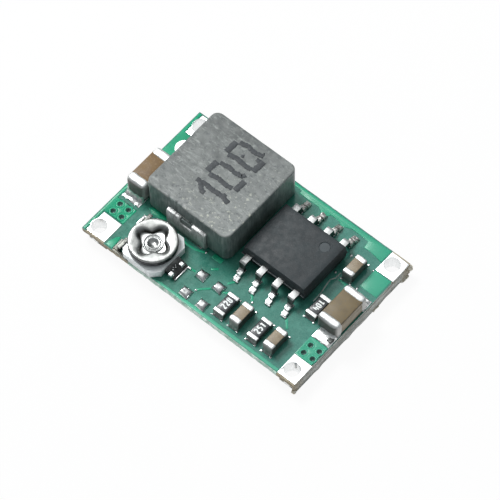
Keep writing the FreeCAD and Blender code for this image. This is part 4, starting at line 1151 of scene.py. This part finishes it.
# %% Trimmer base
TRIMMER_X, TRIMMER_Y = -4.05, -3.87
bm = cad_copy("trimmer_base")
soften(bm, 0.05)
finish_piece(bm, "trimmer_ceramic", alumina, replaces=("trimmer_base",))

# %% Trimmer cup
BULGE = 0.46
# Each point has its radius, its height and how much it takes part in the bulge.
CUP_PROFILE = [
    (1.47, 1.85, 0), (1.54, 1.86, 0), (1.562, 1.9, 0), (1.566, 2.06, 0), (1.55, 2.11, 0),
    (1.525, 2.14, 0), (1.53, 2.19, 0), (1.56, 2.23, 0), (1.57, 2.27, 0), (1.56, 2.31, 0),
    (1.52, 2.338, 0), (1.45, 2.35, 0), (1.37, 2.345, 0.35), (1.3, 2.33, 0.8),
    (1.24, 2.3, 0.96), (1.18, 2.25, 1.0), (1.12, 2.185, 0.9), (1.06, 2.11, 0.79),
    (1.0, 2.04, 0.67), (0.94, 1.985, 0.55), (0.86, 1.952, 0.38), (0.76, 1.944, 0.18),
    (0.66, 1.94, 0), (0.41, 1.94, 0), (0.4, 1.9, 0), (1.4, 1.895, 0), (1.41, 1.85, 0),
    (1.47, 1.85, 0)]
cup = spun([(r, z) for r, z, _ in CUP_PROFILE], (TRIMMER_X, TRIMMER_Y), 96)
weights = {(round(r, 3), round(z, 3)): w for r, z, w in CUP_PROFILE}
for vert in cup.verts:
    dx, dy = vert.co.x - TRIMMER_X, vert.co.y - TRIMMER_Y
    radius = math.hypot(dx, dy)
    weight = weights.get((round(radius, 3), round(vert.co.z, 3)), 0)
    if not weight:
        continue
    angle = math.atan2(dy, dx)
    lobe = 0.5 - 0.5 * math.cos(4 * angle)
    radius -= weight * BULGE * lobe
    vert.co.x = TRIMMER_X + radius * math.cos(angle)
    vert.co.y = TRIMMER_Y + radius * math.sin(angle)
    if vert.co.z > 2.2:
        vert.co.z -= 0.04 * lobe * weight
bm = bmesh.new()
join(bm, cup)
# The cup's outer side below its roll takes the dark metal: painted shade.
paint(bm, 1, lambda spot, normal: (
    spot.z < 2.28 and math.hypot(spot.x - TRIMMER_X, spot.y - TRIMMER_Y) > 1.42))
finish_piece(bm, "trimmer_cup", [cup_metal, rotor_skirt_painted_shade], body="rotor",
             replaces=("trimmer_rotor",), angle=50)

# %% Trimmer eyelet
EYELET_PROFILE = [
    (0.0, 1.86), (0.1, 1.87), (0.18, 1.9), (0.26, 1.95), (0.33, 2.0), (0.37, 2.024),
    (0.41, 2.03), (0.44, 2.015), (0.47, 1.99), (0.5, 1.985), (0.54, 2.01), (0.58, 2.034),
    (0.61, 2.038), (0.635, 2.02), (0.65, 1.985), (0.655, 1.95), (0.36, 1.945), (0.35, 1.2),
    (0.6, 1.2), (0.6, 1.14), (0.0, 1.14)]
bm = bmesh.new()
join(bm, spun(EYELET_PROFILE, (TRIMMER_X, TRIMMER_Y), 64))
finish_piece(bm, "trimmer_rivet", eyelet_metal,
             replaces=("trimmer_eyelet",), angle=60)

# %% Trimmer terminals at the ends of the track
FOOT_BLOCKS = (((-5.36, -5.385, 1.17), (1.26, 0.26, 0.1), 0.03, 5, 0.03),
               ((-5.82, -5.2, 1.22), (0.34, 0.4, 0.2), 0.04, 3, 0.04))
BACK_PLATES = (((-5.79, -3.3, 1.6), (0.09, 1.2, 0.4), 0.03),
               ((-5.56, -2.68, 1.6), (0.36, 0.09, 0.36), 0.03))
BACK_FILLER = (((-5.6, -3.24, 1.58), (0.34, 1.06, 0.3), 0.04),)
for side in ("front", "back"):
    bm = cad_copy("trimmer_terminal_" + side)
    soften(bm, 0.025, steps=2)
    finish_piece(bm, "trimmer_end_tab_" + side, tab_tin,
                 replaces=("trimmer_terminal_" + side,), angle=45)
bm = bmesh.new()
for centre, size, radius, cuts, uneven in FOOT_BLOCKS:
    block(bm, centre, size, radius, cuts=cuts, uneven=uneven, lump=0.3)
finish_piece(bm, "trimmer_front_foot", foot_tin, angle=45)
finish_piece(blocks(BACK_PLATES, cuts=3, uneven=0.03), "trimmer_back_plate", bright_tin,
             angle=45)
finish_piece(blocks(BACK_FILLER, cuts=3, uneven=0.02), "trimmer_back_filler", tab_tin,
             angle=45)

# %% Trimmer terminal of the wiper
TAB_X, TAB_Y, TAB_LENGTH, TAB_WIDTH = -2.5, -4.01, 0.8, 1.26
TAB_FOOT, TAB_RISE, TAB_FALL = 1.14, 1.56, 0.34
CRIMPS = (((-1.98, -3.66, 1.38), (0.32, 0.3, 0.34), 0.06),
          ((-1.98, -4.58, 1.38), (0.32, 0.34, 0.34), 0.06))
BURRS = ((-2.2, -3.95), (-2.1, -4.05), (-2.2, -4.16), (-2.1, -4.28))
bm = bmesh.new()
plate = dense_cube(6)
for vert in plate.verts:
    u, v, w = vert.co.x + 0.5, vert.co.y, vert.co.z + 0.5
    slope = TAB_RISE - TAB_FALL * u ** 1.3
    vert.co = Vector((TAB_X + TAB_LENGTH * u, TAB_Y + TAB_WIDTH * v,
                      TAB_FOOT + w * (slope - TAB_FOOT)))
join(bm, plate, 0.012, 0.2)
# The wiper tab is painted dark: a painted dark reflection and shade.
finish_piece(bm, "trimmer_wiper_tab", tab_tin_painted_dark,
             replaces=("trimmer_wiper_terminal",), angle=45)
bm = blocks(CRIMPS, steps=4, uneven=0.03, lump=0.2)
for x, y in BURRS:
    block(bm, (x, y, 1.45), (0.1, 0.08, 0.12), 0.03, 2, uneven=0.02, lump=0.1)
finish_piece(bm, "trimmer_wiper_crimps", bright_tin, angle=45)

# %% [markdown]
# ## Solder
#
# Molten solder pulls itself up the metal it wets and thins out towards the land's edge, so each
# joint of a wide end is a hollow slope with round shoulders. One helper makes these slopes from
# a subdivided block: it runs out from a face, falls along a power curve and drops to nothing at
# its sides. They differ in reach, height and a little unevenness, as hand-sized drops do. Small
# lumps, such as those on the chip's front leads, are uneven blocks.

# %% Helpers for solder
SEAT = 1.14  # height of the tinned lands
FOOT = SEAT - 0.02  # where solder starts, a little inside its land


def heap(bm, x, y, out_y, width, reach, rise, toe=0.03, fall=1.6, taper=0.25, rough=0.018):
    """Solder that leans on a face at y and runs out along out_y (1 or -1)."""
    part = dense_cube(11)
    for vert in part.verts:
        u = 2 * vert.co.x
        v = min(max(vert.co.y + 0.5, 0.0), 1.0)
        w = vert.co.z + 0.5
        side = max(0.0, 1 - abs(u) ** 5) ** 0.5
        end = max(0.0, 1 - v ** 7) ** 0.5
        height = (toe + (rise - toe) * (1 - v) ** fall) * side * end
        half = width / 2 * (1 - taper * v ** 2)
        spot = Vector((x + u * half, y + out_y * reach * v, FOOT + w * height))
        uneven = wobble(spot, 0.22, rough)
        vert.co = spot + Vector((uneven.x, uneven.y, uneven.z * w))
    join(bm, part)


def land(bm, x, y0, y1, width):
    """Thin tinned land on the board."""
    block(bm, (x, (y0 + y1) / 2, (board_top + SEAT) / 2), (width, abs(y1 - y0), 0.05),
          0.015, 2)


# %% Joints of the large capacitors
LARGE_JOINTS = (("input_capacitor", 0.5, 0.42, 0.42), ("output_capacitor", 0.3, 0.7, 0.36))
WIDE_REACH = 0.6
# A dark lump on the output land, in the shaded lead finish: a painted dark reflection in the
# solder.
PAINTED_DARK_SPOT = (((8.22, -1.72, 1.22), (0.34, 0.4, 0.1), 0.04),)
lands = bmesh.new()
for name, climb, *reaches in LARGE_JOINTS:
    low, high, size, middle = span(name + "_ends")
    bm = bmesh.new()
    for sign, edge, reach in zip((-1, 1), (low.y, high.y), reaches):
        inset = 0.13 if reach > WIDE_REACH else 0.0
        heap(bm, middle.x + inset, edge - sign * 0.1, sign, size.x - 0.02 - 2 * inset,
             reach + 0.12, climb * size.z, toe=0.07, fall=3.6, taper=0.0,
             rough=0.05 - 0.3 * inset)
        land(lands, middle.x + inset, edge - sign * 0.5, edge + sign * (reach - 0.01),
             size.x - 0.04 - 2 * inset)
    finish_piece(bm, name + "_joints", land_solder,
                 replaces=(name + "_solder",), angle=60)
finish_piece(blocks(PAINTED_DARK_SPOT, cuts=3, uneven=0.03, lump=0.3), "output_joint_painted_reflection", lead_wall_painted_shade,
             angle=60)

# %% Joints of the small parts
bm = bmesh.new()
dots = bmesh.new()
for name in [kind + side for side in SIDES for kind in ("resistor_", "small_capacitor_")]:
    low, high, size, middle = span(name + "_ends")
    for sign, edge in ((-1, low.y), (1, high.y)):
        heap(bm, middle.x, edge - sign * 0.05, sign, size.x - 0.04, 0.17, 0.5 * size.z,
             taper=0.3)
        land(lands, middle.x, edge - sign * 0.3, edge + sign * 0.02, size.x - 0.1)
        for corner in (-1, 1):
            block(dots, (middle.x + corner * (size.x / 2 - 0.04), edge + sign * 0.1, 1.13),
                  (0.14, 0.11, 0.06), 0.025, uneven=0.03, lump=0.1)
finish_piece(bm, "small_part_joints", solder_with_painted_shade,
             replaces=("small_part_solder",), angle=60)
finish_piece(dots, "small_part_solder_corners", bright_tin, angle=60)

# %% Joints of the chip
lead_low, lead_high, _, _ = span("chip_leads")
# Each lump has its place beside the lead's end, its size, its rounding and its unevenness.
FRONT_LUMPS = (((0.07, -0.08, 1.27), (0.36, 0.38, 0.2), 0.05, 0.02),
               ((0.15, -0.45, 1.2), (0.33, 0.38, 0.13), 0.04, 0.02),
               ((0.17, -0.64, 1.17), (0.42, 0.14, 0.09), 0.04, 0.01))
bm = bmesh.new()
for x in LEAD_PLACES:
    for shift, size, radius, uneven in FRONT_LUMPS:
        block(bm, Vector((x, lead_low.y, 0)) + Vector(shift), size, radius, cuts=3,
              uneven=uneven, lump=0.3)
    land(lands, x + 0.05, lead_low.y + 0.4, lead_low.y - 0.5, 0.3)
finish_piece(bm, "chip_joints_front", solder, replaces=("chip_solder",),
             angle=60)
bm = bmesh.new()
for x in LEAD_PLACES:
    heap(bm, x, lead_high.y - 0.3, 1, 0.44, 0.46, 0.36, toe=0.26, fall=1.0, taper=0.1,
         rough=0.07)
    heap(bm, x + 0.04, lead_high.y + 0.1, 1, 0.48, 0.4, 0.28, toe=0.16, fall=1.0, rough=0.07)
    land(lands, x, lead_high.y - 0.4, lead_high.y + 0.3, 0.36)
finish_piece(bm, "chip_joints_back", mottled_solder, angle=60)

# %% Joints of the straps and the trimmer
TRIMMER_LUMPS = (((-1.66, -4.02, 1.16), (0.1, 1.3, 0.1), 0.035, 0.015),
                 ((-1.56, -3.42, 1.16), (0.28, 0.14, 0.1), 0.04, 0.015),
                 ((-6.07, -2.77, 1.16), (0.14, 0.8, 0.08), 0.035, 0.02))
bm = bmesh.new()
for side, sign in (("front", -1), ("back", 1)):
    low, high, _, middle = span("inductor_strap_" + side)
    edge = low.y if sign < 0 else high.y
    heap(bm, middle.x, edge - sign * 0.03, sign, 2.8, 0.08, 0.2, toe=0.02, taper=0.02)
    land(lands, middle.x, edge - sign * 1.2, edge - sign * 0.04, 2.9)
finish_piece(bm, "inductor_joints", solder_with_painted_shade,
             replaces=("inductor_solder",), angle=60)
bm = bmesh.new()
for centre, size, radius, uneven in TRIMMER_LUMPS:
    block(bm, centre, size, radius, uneven=uneven, lump=0.2)
finish_piece(bm, "trimmer_joints", solder, replaces=("trimmer_solder",),
             angle=60)
finish_piece(lands, "soldered_lands", tinned,
             replaces=("component_lands",))

# %% Voltage pads: four small square pillows of solder
PILLOW_PLACES = [(x, y) for x in (-0.62, 0.72) for y in (-4.85, -3.30)]
PILLOW_HALF, PILLOW_HEIGHT, PILLOW_SEAT = 0.36, 0.22, 1.11
bm = bmesh.new()
for x, y in PILLOW_PLACES:
    pillow = dense_cube(15)
    for vert in pillow.verts:
        u, v, w = 2 * vert.co.x, 2 * vert.co.y, vert.co.z + 0.5
        crown = max(0.0, 1 - abs(u) ** 4.5) * max(0.0, 1 - abs(v) ** 4.5)
        tilt = 0.05 * u + 0.02 * v
        spot = Vector((x + u * PILLOW_HALF, y + v * PILLOW_HALF,
                       PILLOW_SEAT + w * (0.03 + (PILLOW_HEIGHT - tilt) * crown)))
        uneven = wobble(spot, 0.4, 0.025)
        vert.co = spot + Vector((uneven.x, uneven.y, uneven.z * w))
    join(bm, pillow)
finish_piece(bm, "voltage_pad_pillows", solder,
             replaces=("voltage_pad_solder", "voltage_pads"), angle=60)

# %% Small drops of solder on the tracks
DROPS = ((-1.5, -1.92, 0.2), (-0.25, -4.3, 0.16), (2.92, -2.77, 0.18), (5.4, 3.6, 0.2),
         (5.4, 2.1, 0.18), (7.1, 3.66, 0.14), (7.12, 2.05, 0.16))
bm = bmesh.new()
for x, y, width in DROPS:
    drop = bmesh.new()
    bmesh.ops.create_icosphere(drop, subdivisions=3, radius=width / 2)
    bmesh.ops.scale(drop, vec=(1, 1, 0.6), verts=drop.verts)
    move(drop, drop.verts, (x, y, board_top + 0.01))
    join(bm, drop, 0.02, 0.1)
finish_piece(bm, "solder_drops", solder, angle=60)

# %% Pale raised line on the mask beside the chip
PALE_LINE = ((5.67, -0.32), (5.65, 0.43), (5.53, 1.11), (5.49, 1.51), (5.67, 1.84), (5.67, 2.28))
bm = bmesh.new()
raise_foil(bm, ribbon(bm, stepped(PALE_LINE), 0.08, board_top, 0.03), 0.01, 0.003)
finish_piece(bm, "pale_line_on_mask", pale_line_mask, angle=60)

# %% [markdown]
# ## Camera, light and table
#
# The photograph was taken with a long lens from the front right corner, 60 degrees above the
# table. The camera's place was found by matching the board's corners, so it is written here as
# angles and a distance. Two soft lamps, a wide one and a small strong one, hang over the part
# and a little to its left, because the pads are bright and the right sides of the parts are
# dark. The table is white to the camera and to the metals, and still holds a faint shadow.

# %% Camera
AZIMUTH = math.radians(42.021)
ELEVATION = math.radians(59.814)
ROLL = math.radians(-1.603)
DISTANCE = 0.198499
FOCUS_PIXELS = 3237.089
IMAGE_PIXELS = 500
SENSOR = 36.0
AIM_RIGHT, AIM_UP = 0.268, 0.275
behind = Vector((math.sin(AZIMUTH) * math.cos(ELEVATION),
                 -math.cos(AZIMUTH) * math.cos(ELEVATION), math.sin(ELEVATION)))
level = Vector((math.cos(AZIMUTH), math.sin(AZIMUTH), 0))
upright = behind.cross(level)
aim = (level * AIM_RIGHT + upright * AIM_UP) * MM
right_hand = level * math.cos(ROLL) + upright * math.sin(ROLL)
up_hand = upright * math.cos(ROLL) - level * math.sin(ROLL)
camera_data = bpy.data.cameras.new("camera")
camera_data.sensor_width = SENSOR
camera_data.lens = FOCUS_PIXELS * SENSOR / IMAGE_PIXELS
camera_data.clip_start = 0.01
camera_data.clip_end = 10.0
camera = bpy.data.objects.new("camera", camera_data)
turned = Matrix((right_hand, up_hand, behind)).transposed().to_4x4()
camera.matrix_world = Matrix.Translation(aim + behind * DISTANCE) @ turned
scene.collection.objects.link(camera)
scene.camera = camera
print("lens in millimetres:", round(camera_data.lens, 2))

# %% Lamps


def soft_lamp(name, direction, size, power):
    """Square area lamp that points at the part."""
    lamp_data = bpy.data.lights.new(name, "AREA")
    lamp_data.shape = "SQUARE"
    lamp_data.size = size
    lamp_data.energy = power
    lamp = bpy.data.objects.new(name, lamp_data)
    towards = Vector(direction).normalized()
    lamp.location = towards * LAMP_DISTANCE
    lamp.rotation_euler = towards.to_track_quat("Z", "Y").to_euler()
    scene.collection.objects.link(lamp)


LAMP_DISTANCE = 0.30
soft_lamp("wide_softbox", (-0.46, 0.22, 0.82), 0.3, 0.35)
soft_lamp("key_softbox", (-0.58, 0.12, 0.8), 0.09, 0.56)

# %% Surroundings, from the floor to straight above
SKY_STOPS = ((0.5, "#7d8285"), (0.775, "#84898c"))
world = bpy.data.worlds.new("studio")
scene.world = world
world.use_nodes = True
tree = world.node_tree
height = axis(tree, add(tree, "TexCoord").outputs["Generated"], "Z")
above = add(tree, "ValToRGB", {"Fac": spread(tree, height, 0.0, 1.0, -1.0, 1.0)})
ramp = above.color_ramp
for stop, position, shade in zip(ramp.elements, (0.49, 1.0), ("#e9eaea", "#b4b7b8")):
    stop.position = position
    stop.color = colour(shade)
for position, shade in SKY_STOPS:
    ramp.elements.new(position).color = colour(shade)
tree.links.new(above.outputs["Color"], tree.nodes["Background"].inputs["Color"])

# %% Table
GLOW_SHARE = 0.93
TABLE_DROP = 0.00001
table_paper = bpy.data.materials.new("white_paper")
table_paper.use_nodes = True
tree = table_paper.node_tree
tree.nodes.clear()
path = add(tree, "LightPath")
fibre = grain(tree, place(tree), 3.0)
dull = add(tree, "BsdfDiffuse", {"Color": blend(tree, fibre, "#ededed", "#f2f2f2")})
glow = add(tree, "Emission", {"Color": (1, 1, 1, 1), "Strength": 1.0})
seen = combine(tree, "MAXIMUM", path.outputs["Is Camera Ray"], path.outputs["Is Glossy Ray"])
seen = combine(tree, "MAXIMUM", seen, path.outputs["Is Transmission Ray"])
share = combine(tree, "MULTIPLY", seen, GLOW_SHARE)
mixed = add(tree, "MixShader", {0: share, 1: dull.outputs[0], 2: glow.outputs[0]})
add(tree, "OutputMaterial", {"Surface": mixed.outputs[0]})
bm = bmesh.new()
bmesh.ops.create_grid(bm, x_segments=2, y_segments=2, size=0.5)
mesh = bpy.data.meshes.new("table")
bm.to_mesh(mesh)
bm.free()
mesh.materials.append(table_paper)
table = bpy.data.objects.new("table", mesh)
table.location.z = -TABLE_DROP
scene.collection.objects.link(table)
table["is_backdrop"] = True

# %% [markdown]
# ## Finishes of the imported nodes
#
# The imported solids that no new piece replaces, such as the round pad, the coil and the chip's
# die, take a finish too, and so do the rest, for views that show them. A node takes the first
# finish in the list that has a part of its name.

# %% Finishes by name
NODE_FINISHES = (
    (solder, ("_solder",)),
    (end_tin, ("_ends",)),
    (tinned, ("corner_pad", "vias", "voltage_pads", "round_pad", "component_lands")),
    (brown_ceramic, ("input_capacitor",)),
    (grey_ceramic, ("output_capacitor",)),
    (tan_ceramic, ("small_capacitor",)),
    (film_glaze, ("resistor", "chip_die", "trimmer_track")),
    (moulded, ("inductor_body",)),
    (strap_tin, ("inductor_coil", "inductor_strap")),
    (chip_resin, ("chip_body",)),
    (lead_tin, ("chip_leads", "chip_paddle", "terminal")),
    (alumina, ("trimmer_base",)),
    (rotor_metal, ("trimmer_rotor", "trimmer_wiper", "trimmer_eyelet")),
)
finished = 0
for name, node in nodes.items():
    material = next((finish for finish, marks in NODE_FINISHES
                     if any(mark in name for mark in marks)), None)
    if not material:
        continue
    if not node.material_slots:
        node.data.materials.append(material)
    for slot in node.material_slots:
        slot.material = material
    finished += 1
print("packed nodes with a finish:", finished)

# %% [markdown]
# ## Sizes
#
# The box of the dressed part is printed, in millimetres. The dressed part must not be
# larger than the imported one.

# %% Print the box of the dressed part
low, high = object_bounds()
print("dressed", [round(v / MM, 3) for v in (*low, *high)])
